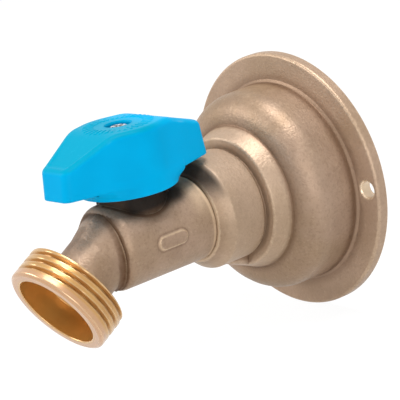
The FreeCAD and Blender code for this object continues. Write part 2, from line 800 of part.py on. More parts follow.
def wings_outline(sketch):
    """The handle's plan: two blunt wings whose straight sides run into the round hub."""
    wide, reach, hub = size.wing_tip_half_width, size.wing_reach, size.hub_radius
    corner = math.hypot(wide.number, reach.number)
    lean = math.atan2(reach.number, wide.number) - math.acos(hub.number / corner)
    touch = FreeCAD.Vector(math.cos(lean), math.sin(lean), 0) * hub.number
    spots = {}
    for x in (1, -1):
        for y in (1, -1):
            spots["tip", x, y] = FreeCAD.Vector(x * wide.number, y * reach.number, 0)
            spots["touch", x, y] = FreeCAD.Vector(x * touch.x, y * touch.y, 0)
    up = FreeCAD.Vector(0, 0, 1)
    circle = Part.Circle(FreeCAD.Vector(), up, hub.number)
    right = sketch.addGeometry(Part.ArcOfCircle(circle, -lean, lean), False)
    left = sketch.addGeometry(Part.ArcOfCircle(circle, math.pi - lean, math.pi + lean), False)
    sides = {}
    for x, arc, ends in ((1, right, {-1: 1, 1: 2}), (-1, left, {1: 1, -1: 2})):
        sketch.addConstraint(Sketcher.Constraint("Coincident", arc, 3, -1, 1))
        for y in (1, -1):
            side = sketch.addGeometry(Part.LineSegment(spots["touch", x, y], spots["tip", x, y]), False)
            sketch.addConstraint(Sketcher.Constraint("Tangent", side, 1, arc, ends[y]))
            measure(sketch, "DistanceX", side, 2, x * wide)
            measure(sketch, "DistanceY", side, 2, y * reach)
            sides[x, y] = side
    for arc in (right, left):
        number = sketch.addConstraint(Sketcher.Constraint("Radius", arc, hub.number))
        sketch.setExpression("Constraints[%d]" % number, hub.formula)
    for y in (1, -1):
        tip = sketch.addGeometry(Part.LineSegment(spots["tip", -1, y], spots["tip", 1, y]), False)
        sketch.addConstraint(Sketcher.Constraint("Coincident", tip, 1, sides[-1, y], 2))
        sketch.addConstraint(Sketcher.Constraint("Coincident", tip, 2, sides[1, y], 2))


def make_handle():
    """Moulded wing handle: hub with a skirt, two wings, a screw recess and a two-flatted socket."""
    body = new_body("handle_moulding")
    sketch = level_sketch(body, "Wings_outline", size.wing_bottom)
    wings_outline(sketch)
    extruded(body, "Wings", sketch, size.handle_top - size.wing_bottom)
    slopes = ((1, "Front_slope", size.wing_front_top), (-1, "Rear_slope", size.wing_rear_top))
    for side, name, tip_top in slopes:
        sketch = side_sketch(body, name + "_outline", STEM_LINE)
        polygon(sketch, [
            (size.handle_top, side * size.wing_slope_start),
            (tip_top, side * size.wing_tip_reach),
            (size.wing_bottom, side * size.wing_reach),
            (size.wing_bottom - SPARE, side * size.wing_reach),
            (size.wing_bottom - SPARE, side * (size.wing_reach + SPARE)),
            (size.handle_top + SPARE, side * (size.wing_reach + SPARE)),
            (size.handle_top + SPARE, side * size.wing_slope_start),
        ])
        extruded(body, name, sketch, 2 * (size.hub_radius + SPARE), cut=True, both_ways=True)
    rounded(body, "SlopeCreases", edges_where(body.Tip, slope_crease), size.wing_slope_round)
    rounded(body, "TipCorners", edges_where(body.Tip, tip_corner), size.wing_tip_round)
    rounded(body, "TopEdges", edges_where(body.Tip, top_edge), size.handle_edge_round)
    turned(body, "Hub", STEM_LINE, [
        (size.skirt_bottom, 0),
        (size.skirt_bottom, size.skirt_radius),
        (size.handle_top - size.hub_edge, size.hub_radius),
        (size.handle_top, size.hub_radius - size.hub_edge),
        (size.handle_top, 0),
    ])

    # Hollow skirt over the packing nut, screw recess, and pockets under the wings
    bore(body, "Skirt_hollow", STEM_LINE, size.skirt_bottom - SPARE, cavity_top, skirt_inner_radius)
    bore(body, "Recess", STEM_LINE, size.recess_floor, size.handle_top + SPARE, size.recess_radius)
    sketch = level_sketch(body, "Wing_pockets_outline", size.wing_bottom)
    for x in (1, -1):
        for y in (1, -1):
            polygon(sketch, [
                (x * size.wing_rib / 2, y * (size.hub_radius + size.wing_rib / 2)),
                (x * size.wing_pocket_half_width, y * (size.hub_radius + size.wing_rib / 2)),
                (x * (size.wing_tip_half_width - size.wing_wall), y * (size.wing_reach - size.wing_wall)),
                (x * size.wing_rib / 2, y * (size.wing_reach - size.wing_wall)),
            ])
    extruded(body, "Wing_pockets", sketch, size.wing_pocket_depth, cut=True, up=True)
    tab = sector("stop_tab", size.boss_radius + size.stop_run_gap, skirt_inner_radius + size.stop_root,
                 size.skirt_bottom + size.stop_run_gap, cavity_top + size.stop_root,
                 HALF_TURN - size.stop_width / 2, size.stop_width)
    solid = joined("handle_solid", [body, tab])
    socket = drive("drive_socket", size.drive_gap, cavity_top - SPARE, size.recess_floor + SPARE)
    return cut_from("handle", solid, socket)


def slope_crease(edge):
    """Whether an edge is where the flat top meets the slope of a wing."""
    middle = edge.BoundBox.Center
    off_slope = abs(abs(middle.y + size.stem_reach.number) - size.wing_slope_start.number)
    return abs(middle.z - size.handle_top.number) + off_slope < EDGE_MATCH


def tip_corner(edge):
    """Whether an edge is one of the four that stand at the corners of the wings."""
    spot = edge.Vertexes[0].Point
    halfway = (size.hub_radius.number + size.wing_reach.number) / 2
    beyond_hub = math.hypot(spot.x, spot.y + size.stem_reach.number) > halfway
    return beyond_hub and edge.BoundBox.ZLength > (size.wing_front_top.number - size.wing_bottom.number) / 2


def top_edge(edge):
    """Whether an edge of a wing lies on its top or its slope."""
    box = edge.BoundBox
    on_crease = box.XLength > size.hub_radius.number and box.ZLength < EDGE_MATCH
    beyond_slope = abs(box.Center.y + size.stem_reach.number) > size.wing_tip_reach.number - SPARE
    return box.ZMin > size.wing_front_top.number - SPARE and (beyond_slope or not on_crease)


def make_handle_screw():
    """Pan-head screw with a cross recess."""
    body = new_body("screw_turning")
    head_top_height = washer_top + size.screw_head_height
    turned(body, "Screw_turned", STEM_LINE, [
        (screw_tip, 0),
        (screw_tip, size.screw_shank_radius - size.screw_tip_bevel),
        (screw_tip + size.screw_tip_bevel, size.screw_shank_radius),
        (washer_top, size.screw_shank_radius),
        (washer_top, size.screw_head_radius),
        (head_top_height, size.screw_head_radius),
        (head_top_height, 0),
    ])
    rim = circle_edges(body.Tip, STEM_LINE, [(head_top_height, size.screw_head_radius)])
    rounded(body, "Head_edge", rim, size.screw_head_round)
    piece = body
    floor = head_top_height - size.cross_depth
    half_long, half_wide = size.cross_length / 2, size.cross_width / 2
    for name, half_x, half_y in (("cross_a", half_long, half_wide), ("cross_b", half_wide, half_long)):
        bar = block(name + "_bar", (-half_x, -size.stem_reach - half_y, floor),
                    (half_x, half_y - size.stem_reach, head_top_height + SPARE))
        piece = cut_from(name if name == "cross_a" else "handle_screw", piece, bar)
    return piece


def make_lock_washer():
    """Split spring washer under the screw's head."""
    ring = turned_ring("washer_ring", STEM_LINE, size.recess_floor, washer_top,
                       size.screw_head_radius + size.running_gap, size.screw_shank_radius + size.running_gap)
    half_gap = size.split_gap / 2
    split = block("washer_split",
                  (size.screw_shank_radius - SPARE, -size.stem_reach - half_gap, size.recess_floor - SPARE),
                  (size.screw_head_radius + SPARE, half_gap - size.stem_reach, washer_top + SPARE))
    return cut_from("lock_washer", ring, split)


ring_radius = stem_bore_radius - size.ring_gap - size.stem_ring_wire / 2
seat_ring_radius = chamber_radius - size.ring_gap - size.seat_ring_wire / 2
seat_groove_offset = size.seat_length - size.seat_ring_wire - size.seat_back_wall
packing_radius = size.packing_bore_radius - size.ring_gap

parts["wall_flange"] = make_wall_flange()
parts["valve_body"] = make_valve_body()
parts["joint_ring"] = hoop("joint_ring", PIPE_LINE, joint_floor_reach + size.joint_ring_wire / 2,
                           (size.spigot_radius + chamber_radius) / 2, size.joint_ring_wire)
parts["seat_retainer"] = make_retainer()
parts["inlet_seat"] = make_seat("inlet_seat", inlet_seat_reach, size.stem_reach - size.seat_face_offset,
                                size.stem_reach - seat_groove_offset)
parts["outlet_seat"] = make_seat("outlet_seat", outlet_seat_reach, size.stem_reach + size.seat_face_offset,
                                 size.stem_reach + seat_groove_offset)
parts["inlet_seat_ring"] = hoop("inlet_seat_ring", PIPE_LINE, size.stem_reach - seat_groove_offset,
                                seat_ring_radius, size.seat_ring_wire)
parts["outlet_seat_ring"] = hoop("outlet_seat_ring", PIPE_LINE, size.stem_reach + seat_groove_offset,
                                 seat_ring_radius, size.seat_ring_wire)
parts["ball"] = make_ball()
parts["stem"] = make_stem()
parts["thrust_washer"] = turned_ring("thrust_washer", STEM_LINE, thrust_washer_bottom,
                                     size.bonnet_seat_height, size.head_radius, washer_bore_radius)
parts["stem_ring_lower"] = hoop("stem_ring_lower", STEM_LINE, size.stem_ring_lower, ring_radius,
                                size.stem_ring_wire)
parts["stem_ring_upper"] = hoop("stem_ring_upper", STEM_LINE, size.stem_ring_upper, ring_radius,
                                size.stem_ring_wire)
parts["packing_washer"] = turned_ring("packing_washer", STEM_LINE, size.packing_floor, packing_bottom,
                                      packing_radius, washer_bore_radius)
parts["stem_packing"] = turned_ring("stem_packing", STEM_LINE, packing_bottom, follower_bottom,
                                    packing_radius, washer_bore_radius)
parts["gland_follower"] = turned_ring("gland_follower", STEM_LINE, follower_bottom, follower_top,
                                      packing_radius, washer_bore_radius)
parts["packing_nut"] = make_packing_nut()
parts["handle"] = make_handle()
parts["lock_washer"] = make_lock_washer()
parts["handle_screw"] = make_handle_screw()

doc.recompute()

# Every feature and piece is looked over before anything is written
faults = [item.Name for item in doc.Objects if "Invalid" in item.State or "Error" in item.State]
for name, piece in parts.items():
    piece.Label = name
    shape = piece.Shape
    if shape.isNull() or not shape.isValid() or len(shape.Solids) != 1:
        faults.append(name)
if faults:
    raise RuntimeError("Faulty: " + ", ".join(faults))

os.makedirs("parts", exist_ok=True)
for name, piece in parts.items():
    piece.Shape.exportStep("parts/%s.step" % name)
print("%d pieces written" % len(parts))
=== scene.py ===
# %% [markdown]
# # A quarter-turn hose bibb
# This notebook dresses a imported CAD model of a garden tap. The CAD model says where every piece is,
# and how it moves. Here each piece that shows gets its real surface: sand-cast bronze for the two
# castings, bright machined metal at the outlet, and glossy moulded plastic for the wing handle.
# All shapes are worked out with numpy in millimetres and put into the meshes in metres.

# %% Load the frame
import json
import math

import bmesh
import bpy
import numpy as np
from mathutils import Matrix, Vector


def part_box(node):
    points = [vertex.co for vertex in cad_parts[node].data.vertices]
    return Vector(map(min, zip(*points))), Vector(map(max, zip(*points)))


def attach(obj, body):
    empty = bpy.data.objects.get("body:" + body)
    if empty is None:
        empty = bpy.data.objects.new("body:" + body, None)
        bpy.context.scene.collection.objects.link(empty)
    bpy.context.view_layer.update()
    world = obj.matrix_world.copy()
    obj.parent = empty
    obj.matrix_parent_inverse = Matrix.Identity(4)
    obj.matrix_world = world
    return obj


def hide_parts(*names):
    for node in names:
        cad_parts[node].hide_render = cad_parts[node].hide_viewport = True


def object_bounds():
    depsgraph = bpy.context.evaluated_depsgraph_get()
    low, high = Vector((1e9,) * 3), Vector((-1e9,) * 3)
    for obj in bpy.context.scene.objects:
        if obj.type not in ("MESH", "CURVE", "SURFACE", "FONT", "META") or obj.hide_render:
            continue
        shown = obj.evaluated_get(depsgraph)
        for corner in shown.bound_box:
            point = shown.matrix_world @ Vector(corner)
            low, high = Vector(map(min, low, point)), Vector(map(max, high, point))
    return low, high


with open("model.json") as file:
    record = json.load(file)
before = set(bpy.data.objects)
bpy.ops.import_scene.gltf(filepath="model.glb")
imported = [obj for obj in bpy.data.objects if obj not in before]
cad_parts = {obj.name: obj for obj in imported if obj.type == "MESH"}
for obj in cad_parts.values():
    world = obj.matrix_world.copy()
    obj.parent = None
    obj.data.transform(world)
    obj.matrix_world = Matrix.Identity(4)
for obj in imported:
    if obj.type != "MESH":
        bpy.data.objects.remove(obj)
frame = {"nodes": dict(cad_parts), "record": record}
cad_box = [list(corner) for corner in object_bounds()]
nodes = frame["nodes"]
MM = 0.001
print("CAD nodes:", len(nodes), "box:", [[round(v / MM, 1) for v in corner] for corner in cad_box])

# %% [markdown]
# ## Three centre lines
# A tap is turned work. Nearly every surface is round about one of three lines: the pipe line out of
# the wall, the upright stem line, and the nozzle line that slopes down. A line is kept as its origin
# and three directions: along it, and two across it.

# %% Centre lines
stem_low, stem_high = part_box("stem")
stem_reach = -(stem_low.y + stem_high.y) / 2 / MM
elbow_reach = 63.1
nozzle_angle = math.radians(30)


class Line:
    """A centre line: a point of it, its direction, and two directions square to it."""

    def __init__(self, origin, along, side, up):
        self.origin, self.along, self.side, self.up = (np.array(v, float) for v in (origin, along, side, up))

    def at(self, place, across=0.0, rise=0.0):
        """Points at places along the line, moved off it to the side and upwards."""
        place, across, rise = np.broadcast_arrays(*(np.asarray(v, float) for v in (place, across, rise)))
        moves = place[..., None] * self.along + across[..., None] * self.side + rise[..., None] * self.up
        return self.origin + moves


slope = (math.cos(nozzle_angle), math.sin(nozzle_angle))
PIPE = Line((0, 0, 0), (0, -1, 0), (1, 0, 0), (0, 0, 1))
STEM = Line((0, -stem_reach, 0), (0, 0, 1), (1, 0, 0), (0, 1, 0))
NOZZLE = Line((0, -elbow_reach, 0), (0, -slope[0], -slope[1]), (1, 0, 0), (0, -slope[1], slope[0]))
print("stem line at reach", round(stem_reach, 2))

# %% [markdown]
# ## Outlines and grids
# A turned piece starts as an outline: corners, each with a place along the line, a radius and how
# far it is rounded. Cast metal has no sharp corner, so `soften` puts a tangent arc at each one. The
# outline is then carried round the line, which gives a grid of points with two parameters. A Screw
# modifier would turn an outline as well, but here the radius can change from point to point by a
# formula, as it has to for a thread or a raised pad.


# %% Rounded outlines
def soften(corners, step=0.8, loop=False):
    """Straight runs joined by tangent arcs: one of radius r starts r / tan(half the corner) from the corner."""
    spots = np.array([corner[:2] for corner in corners], float)
    runs = []
    for index, corner in enumerate(corners):
        radius = corner[2] if len(corner) > 2 else 0.0
        if radius == 0 or (not loop and index in (0, len(corners) - 1)):
            runs.append(spots[index][None])
            continue
        before = spots[index - 1] - spots[index]
        after = spots[(index + 1) % len(corners)] - spots[index]
        before, after = before / np.linalg.norm(before), after / np.linalg.norm(after)
        half = math.acos(float(before @ after)) / 2
        reach = radius / math.tan(half)
        middle = (before + after) / np.linalg.norm(before + after)
        centre = spots[index] + middle * radius / math.sin(half)
        first, last = spots[index] + before * reach - centre, spots[index] + after * reach - centre
        turn = math.atan2(first[0] * last[1] - first[1] * last[0], float(first @ last))
        angles = np.linspace(0, turn, max(3, int(abs(turn) / math.radians(11)) + 2))[:, None]
        across = np.array([-first[1], first[0]])
        runs.append(centre + np.cos(angles) * first + np.sin(angles) * across)
    path = np.concatenate(runs)
    ends = np.roll(path, -1, axis=0) if loop else path[1:]
    starts = path if loop else path[:-1]
    counts = np.maximum(1, np.ceil(np.linalg.norm(ends - starts, axis=1) / step)).astype(int)
    which = np.repeat(np.arange(len(counts)), counts)
    share = np.concatenate([np.arange(n) / n for n in counts])[:, None]
    filled = starts[which] * (1 - share) + ends[which] * share
    return filled if loop else np.concatenate([filled, path[-1:]])


# %% Grids and meshes
def angles_round(sectors):
    """Equal angles round a full circle."""
    return np.linspace(0, 2 * math.pi, sectors, endpoint=False)


def turned(line, outline, sectors=240, change=None):
    """A grid from an outline carried round a line: centre + place along + radius (cos side + sin up)."""
    angle, place = np.meshgrid(angles_round(sectors), outline[:, 0], indexing="ij")
    radius = np.broadcast_to(outline[:, 1], angle.shape)
    if change is not None:
        radius = np.where(radius > 0, change(angle, place, radius), 0)
    return line.at(place, radius * np.cos(angle), radius * np.sin(angle))


def placed(name, data):
    """A new object of the scene, at the origin."""
    made = bpy.data.objects.new(name, data)
    bpy.context.scene.collection.objects.link(made)
    return made


def solid(name, grid, loop=False):
    """A closed mesh from a grid whose rows close on themselves. Rows of one repeated point weld to a pole."""
    rows, columns = grid.shape[:2]
    row, column = np.meshgrid(np.arange(rows), np.arange(columns if loop else columns - 1), indexing="ij")
    next_row, next_column = (row + 1) % rows, (column + 1) % columns
    quads = np.stack([row * columns + column, next_row * columns + column,
                      next_row * columns + next_column, row * columns + next_column], -1).reshape(-1, 4)
    mesh = bpy.data.meshes.new(name)
    mesh.from_pydata(grid.reshape(-1, 3) * MM, [], quads)
    shell = bmesh.new()
    shell.from_mesh(mesh)
    bmesh.ops.remove_doubles(shell, verts=shell.verts, dist=1e-7)
    if shell.calc_volume(signed=True) < 0:
        bmesh.ops.reverse_faces(shell, faces=shell.faces)
    shell.to_mesh(mesh)
    shell.free()
    return placed(name, mesh)


# %% [markdown]
# ## Joining and cutting
# A casting is one piece of metal, though it is easiest to describe as several turned shapes. Boolean
# modifiers join them and cut the bores, and the result is kept as a plain mesh. Afterwards each
# vertex is told how sharply the surface bends there, so that the finish can paint highlights on
# edges, partly as wear, and paint shade into corners.


# %% Joining and cutting
def keep_result(piece):
    """Replaces a piece's mesh by what its modifiers make of it."""
    graph = bpy.context.evaluated_depsgraph_get()
    mesh = bpy.data.meshes.new_from_object(piece.evaluated_get(graph), depsgraph=graph)
    piece.modifiers.clear()
    piece.data = mesh


def combine(piece, tools, operation):
    """Joins the tools to a piece, or cuts them out of it, and removes them."""
    for tool in tools:
        boolean = piece.modifiers.new(tool.name, "BOOLEAN")
        boolean.operation, boolean.object, boolean.solver = operation, tool, "MANIFOLD"
    keep_result(piece)
    for tool in tools:
        bpy.data.objects.remove(tool)
    return piece


# %% How sharply a surface bends
def read_rows(rows, name, width, kind=float):
    """An array of what a mesh keeps in each row under a name."""
    flat = np.zeros(len(rows) * width, kind)
    rows.foreach_get(name, flat)
    return flat.reshape(-1, width)


def store(mesh, name, value):
    """Keeps a number at each vertex, for the finish to read."""
    mesh.attributes.new(name, "FLOAT", "POINT").data.foreach_set("value", value.astype(np.float32))


def mark_edges(mesh, narrow=2, wide=26):
    """Stores how sharply the surface bends: the mean over a vertex's edges of -(normal . edge) / length
    squared, averaged with the neighbours a few times for "bend" and many more times for "hollow". "upward" is
    the normal's height, from -1 to 1."""
    count = len(mesh.vertices)
    places, normals = read_rows(mesh.vertices, "co", 3) / MM, read_rows(mesh.vertex_normals, "vector", 3)
    pairs = read_rows(mesh.edges, "vertices", 2, int)
    ends = np.concatenate([pairs, pairs[:, ::-1]])
    steps = places[ends[:, 1]] - places[ends[:, 0]]
    bend = -(normals[ends[:, 0]] * steps).sum(1) / np.maximum((steps ** 2).sum(1), 1e-4)
    share = np.maximum(np.bincount(ends[:, 0], minlength=count), 1)
    value = np.bincount(ends[:, 0], bend, count) / share
    for name, rounds in (("bend", narrow), ("hollow", wide)):
        for _ in range(rounds):
            value = (value + np.bincount(ends[:, 0], value[ends[:, 1]], count) / share) / 2
        store(mesh, name, value)
        print(mesh.name, name, np.round(np.percentile(value, [1, 50, 99]), 2))
        value = np.clip(value, -1.5, 1.5)
    store(mesh, "upward", normals[:, 2])


# %% Handing a piece over
def finish_piece(piece, body, material, stands_for=(), crease=38):
    """Smooths a finished piece, gives it its material, and hangs it on its body."""
    mesh = piece.data
    mesh.shade_smooth()
    mesh.set_sharp_from_angle(angle=math.radians(crease))
    mark_edges(mesh)
    mesh.materials.clear()
    mesh.materials.append(material)
    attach(piece, body)
    if stands_for:
        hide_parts(*stands_for)
    print(piece.name, "has", len(mesh.polygons), "faces")
    return piece


# %% [markdown]
# ## Shader sums
# A finish is easier to read as a formula. `Wire` wraps one socket, so that sums of wires add Math
# nodes, and `Finish.add` makes every other node from its type, its settings and its inputs.


# %% Sums of sockets
class Wire:
    """One output socket of a finish, or a sum of them."""

    def __init__(self, finish, socket):
        self.finish, self.socket = finish, socket

    def maths(self, operation, *values, clamp=False):
        """A Math node on this wire and other values."""
        inputs = dict(enumerate((self,) + values))
        return self.finish.add("Math", {"operation": operation, "use_clamp": clamp}, inputs)

    def __add__(self, other):
        return self.maths("ADD", other)

    def __sub__(self, other):
        return self.maths("SUBTRACT", other)

    def __rsub__(self, other):
        return (self * -1) + other

    def __mul__(self, other):
        return self.maths("MULTIPLY", other)

    __radd__, __rmul__ = __add__, __mul__

    def step(self, low, high):
        """A smooth step from 0 below low to 1 above high, or the other way round if low is the greater."""
        inputs = {0: self, 1: low, 2: high, 3: 0.0, 4: 1.0}
        if low > high:
            inputs.update({1: high, 2: low, 3: 1.0, 4: 0.0})
        return self.finish.add("MapRange", {"interpolation_type": "SMOOTHSTEP"}, inputs)


# %% A tree of nodes
class Wiring:
    """A tree of shader nodes that is being wired up."""

    def __init__(self, tree):
        self.nodes, self.links = tree.nodes, tree.links

    def add(self, kind, settings=None, inputs=None, output=0):
        """A node of a kind, its settings put in first and then the values or wires of its inputs."""
        node = self.nodes.new("ShaderNode" + kind)
        for key, value in (settings or {}).items():
            setattr(node, key, value)
        for key, value in (inputs or {}).items():
            self.feed(node.inputs[key], value)
        return Wire(self, node.outputs[output])

    def feed(self, socket, value):
        """Puts a number, a colour or a wire into a socket."""
        if isinstance(value, Wire):
            self.links.new(value.socket, socket)
        else:
            socket.default_value = value


# %% A finish and its patterns
class Finish(Wiring):
    """A material round one Principled shader."""

    def __init__(self, name, metallic=0.0, roughness=0.5):
        self.material = bpy.data.materials.new(name)
        self.material.use_nodes = True
        super().__init__(self.material.node_tree)
        self.shader = self.nodes["Principled BSDF"]
        self.shader.inputs["Metallic"].default_value = metallic
        self.shader.inputs["Roughness"].default_value = roughness

    def set(self, name, value):
        """Feeds one socket of the shader."""
        self.feed(self.shader.inputs[name], value)

    def place(self):
        """Object coordinates, in metres."""
        return self.add("TexCoord", output="Object")

    def surface(self, name):
        """A value that the mesh keeps at each vertex, such as how sharply the surface bends."""
        return self.add("Attribute", {"attribute_name": name}, output="Fac")

    def noise(self, width, detail=3.0, rough=0.55, stretch=None):
        """Noise whose blobs are about so many millimetres wide."""
        where = self.place()
        if stretch is not None:
            where = self.add("Mapping", None, {"Vector": where, "Scale": stretch})
        inputs = {"Vector": where, "Scale": 0.6 / (width * MM), "Detail": detail, "Roughness": rough}
        return self.add("TexNoise", None, inputs)

    def mix(self, share, first, second):
        """Two colours mixed by a share."""
        return self.add("Mix", {"data_type": "RGBA"}, {0: share, 6: first, 7: second}, output=2)

    def layers(self, colour, coats):
        """A colour under further ones: each coat has its share and its red, green and blue."""
        for share, over in coats:
            colour = self.mix(share, colour, tint(*over))
        return colour

    def vector(self, operation, *values, output=0):
        """A Vector Math node."""
        return self.add("VectorMath", {"operation": operation}, dict(enumerate(values)), output)

    def along(self, line):
        """How far along a centre line each point is, in millimetres."""
        offset = self.vector("SUBTRACT", self.place(), list(line.origin * MM))
        return self.vector("DOT_PRODUCT", offset, list(line.along), output="Value") * (1 / MM)

    def off(self, line):
        """How far from a centre line each point is, in millimetres."""
        offset = self.vector("SUBTRACT", self.place(), list(line.origin * MM))
        cross = self.vector("CROSS_PRODUCT", offset, list(line.along))
        return self.vector("LENGTH", cross, output="Value") * (1 / MM)

    def bump(self, height, depth, normal=None):
        """A bump of so many millimetres from a height between 0 and 1."""
        inputs = {"Height": height, "Distance": depth * MM, "Strength": 1.0}
        if normal is not None:
            inputs["Normal"] = normal
        return self.add("Bump", None, inputs)


# %% Colours
def tint(red, green, blue):
    """A colour as a screen shows it, 0 to 255, as the linear colour that a shader takes."""
    share = np.array([red, green, blue]) / 255
    linear = np.where(share <= 0.04045, share / 12.92, ((share + 0.055) / 1.055) ** 2.4)
    return [float(value) for value in linear] + [1.0]


print("a grey of 128 is", round(tint(128, 128, 128)[0], 3), "in linear light")

# %% [markdown]
# ## Sand-cast bronze
# The castings come out of a sand mould and are tumbled, so their skin is a satin brown with a fine
# grit and cloudy patches of pink and grey. On it the finish paints shade into corners and hollows,
# highlights on edges, which stand partly for worn metal, a near-black shadow under the handle, and
# light on the rim and the collar. Where a tool has cut the metal, at the hose thread, the bores and
# the screw holes, it is smooth and golden instead. A painted image would need the castings unwrapped.
# Noise in object coordinates needs no unwrapping and has no seams, and the mesh itself says where its
# corners and edges are.


# %% Bronze
thread_back, nozzle_length = 11.5, 20.2
rim_face, hole_mouth, ring_start = (3.9, 3.3), (3.6, 3.3), (18.6, 19.6)
cone_start, cone_end = (36.5, 34.0), (37.2, 36.9)


def cast_bronze(name, machined, shading):
    """Cast skin with clouds and grit, painted shade in corners, painted highlights on edges (partly worn
    metal), painted light on the rim and collar, and turned metal where `machined` is 1.
    """
    finish = Finish(name)
    bend, hollow = finish.surface("bend"), finish.surface("hollow")
    clouds, patches = finish.noise(13, 3), finish.noise(7, 3)
    grit, grain, streaks = finish.noise(0.45, 2, 0.7), finish.noise(1.2, 3, 0.65), finish.noise(3.5, 3, 0.6)
    # Convex edges: a painted highlight there stands partly for worn metal, which is also a little smoother.
    worn_and_highlit = (bend + (grit - 0.5) * 0.6).step(0.12, 0.7)
    # The painted handle shadow and the mesh's painted shade and highlight; where dark, the metal is also less
    # metallic and rougher.
    handle_shadow, shade_and_sheen = shading(finish)
    dark_shade = handle_shadow.maths("MAXIMUM", shade_and_sheen, clamp=True)
    reach = finish.along(PIPE)
    skin = finish.mix(clouds.step(0.32, 0.66), tint(150, 125, 100), tint(170, 144, 123))
    skin = finish.layers(skin, [
        (patches.step(0.45, 0.75) * 0.3, (122, 98, 78)),
        (grain.step(0.5, 0.8) * 0.25, (194, 168, 142)),
        (grit.step(0.5, 0.34) * 0.2, (104, 82, 62)),
        (grit.step(0.6, 0.74) * 0.14, (224, 202, 176)),
        # Painted shade over wide hollows of the surface.
        ((hollow * -1).step(0.02, 0.2) * 0.6, (96, 66, 42)),
        # Painted light: the flange's rim, near the wall, is made lighter.
        (reach.step(*rim_face) * 0.25, (204, 174, 148)),
        # Painted light: the step ring, groove and collar are made lighter.
        (reach.step(*ring_start) * reach.step(*cone_start) * 0.2, (226, 200, 172)),
        # Painted shade in sharp inward bends.
        ((bend * -1).step(0.1, 0.8) * 0.4, (84, 58, 36)),
        # Painted highlight on convex edges, partly worn metal.
        (worn_and_highlit * 0.42, (226, 200, 168)),
        # Painted highlight where the mesh's value is below 0: near the seam and on the pads' edges, partly worn
        # metal.
        ((shade_and_sheen * -1).step(0.05, 0.9) * 0.75, (222, 194, 160)),
        # Painted shade where the mesh's value is above 0: the neck's crease, the boss's foot and the filed
        # side.
        (shade_and_sheen.maths("MINIMUM", 1, clamp=True), (84, 56, 34)),
        # Painted near-black shadow under the handle.
        (handle_shadow, (12, 9, 7)),
    ])
    cut, off_nozzle = machined(finish), finish.off(NOZZLE)
    lip = finish.along(NOZZLE).step(nozzle_length - 2.2, nozzle_length - 1.4) * off_nozzle.step(11.0, 11.6)
    gold = finish.mix(streaks.step(0.3, 0.7), tint(184, 138, 80), tint(196, 152, 90))
    gold = finish.layers(gold, [
        (lip * 0.65, (198, 156, 126)),
        (off_nozzle.step(11.0, 10.6) * 0.8, (206, 150, 70)),
        # Painted shade in the thread's grooves and other inward bends of cut metal.
        ((bend * -1).step(0.2, 0.9) * 0.4, (128, 84, 38)),
        # Painted highlight on the thread's crests and other edges of cut metal.
        (bend.step(0.15, 0.8) * 0.35, (236, 206, 166)),
        # Painted cream reflection in the mouths of the screw holes.
        (reach.step(*hole_mouth) * finish.off(PIPE).step(24, 26), (226, 202, 172)),
    ])
    finish.set("Base Color", finish.mix(cut, skin, gold))
    finish.set("Metallic", (0.38 + cut * 0.17) * (1 - dark_shade))
    skin_roughness = 0.43 + (grain - 0.5) * 0.3 * (1 - cut * 0.9)
    finish.set("Roughness", skin_roughness - worn_and_highlit * 0.08 - cut * 0.13 + dark_shade * 0.3)
    finish.set("Specular IOR Level", 0.2)
    finish.set("Coat Weight", cut * 0.6)
    finish.set("Coat Roughness", 0.2)
    finish.set("Normal", finish.bump((grit * 0.8 + grain * 0.5) * (1 - cut * 0.96), 0.15))
    return finish.material


# %% Where the bronze is cut, and where shade and highlights are painted on it
def outlet_cut(finish):
    """Machined metal beyond the back of the hose thread."""
    return finish.along(NOZZLE).step(thread_back - 0.25, thread_back - 0.05)


def painted_shadow_marks(finish):
    """A painted near-black shadow of the handle, round the stem and on the collar's top, and the shade and
    highlight that the mesh keeps at each vertex: painted shade above 0, painted highlight on worn metal below
    0."""
    # Painted shadow: round the stem and on the collar's top, which lie under the handle, the colour goes
    # near-black.
    ragged = finish.off(STEM) + (finish.noise(3.0, 3) - 0.5) * 4
    reach, high = finish.along(PIPE), finish.along(STEM)
    round_stem = ragged.step(15.5, 10.5) * high.step(6.4, 8.8) * (reach.step(62.0, 57.5) * 0.57 + 0.35)
    on_collar = reach.step(32.6, 34.4) * reach.step(*cone_end) * high.step(4.5, 10.5) * 0.9
    # Painted shade above 0 and painted highlight below 0, as kept at each vertex, broken up by noise.
    shade_and_sheen = finish.surface("shade_and_sheen") * (0.6 + finish.noise(1.6, 3) * 0.7)
    return round_stem.maths("MAXIMUM", on_collar), shade_and_sheen


body_bronze = cast_bronze("bronze_body", outlet_cut, painted_shadow_marks)
print("the bronze has", len(body_bronze.node_tree.nodes), "shader nodes")

# %% [markdown]
# ## The other finishes
# The handle is glossy moulded plastic with a faint ripple from its mould. Brass parts show turning
# lines round the stem, the screw is satin steel, the ball is chromed, and seats and seals are plain
# polymer and rubber with a slight grain. Most of these hardly show, so one function makes them all
# from two close tints and a grain.


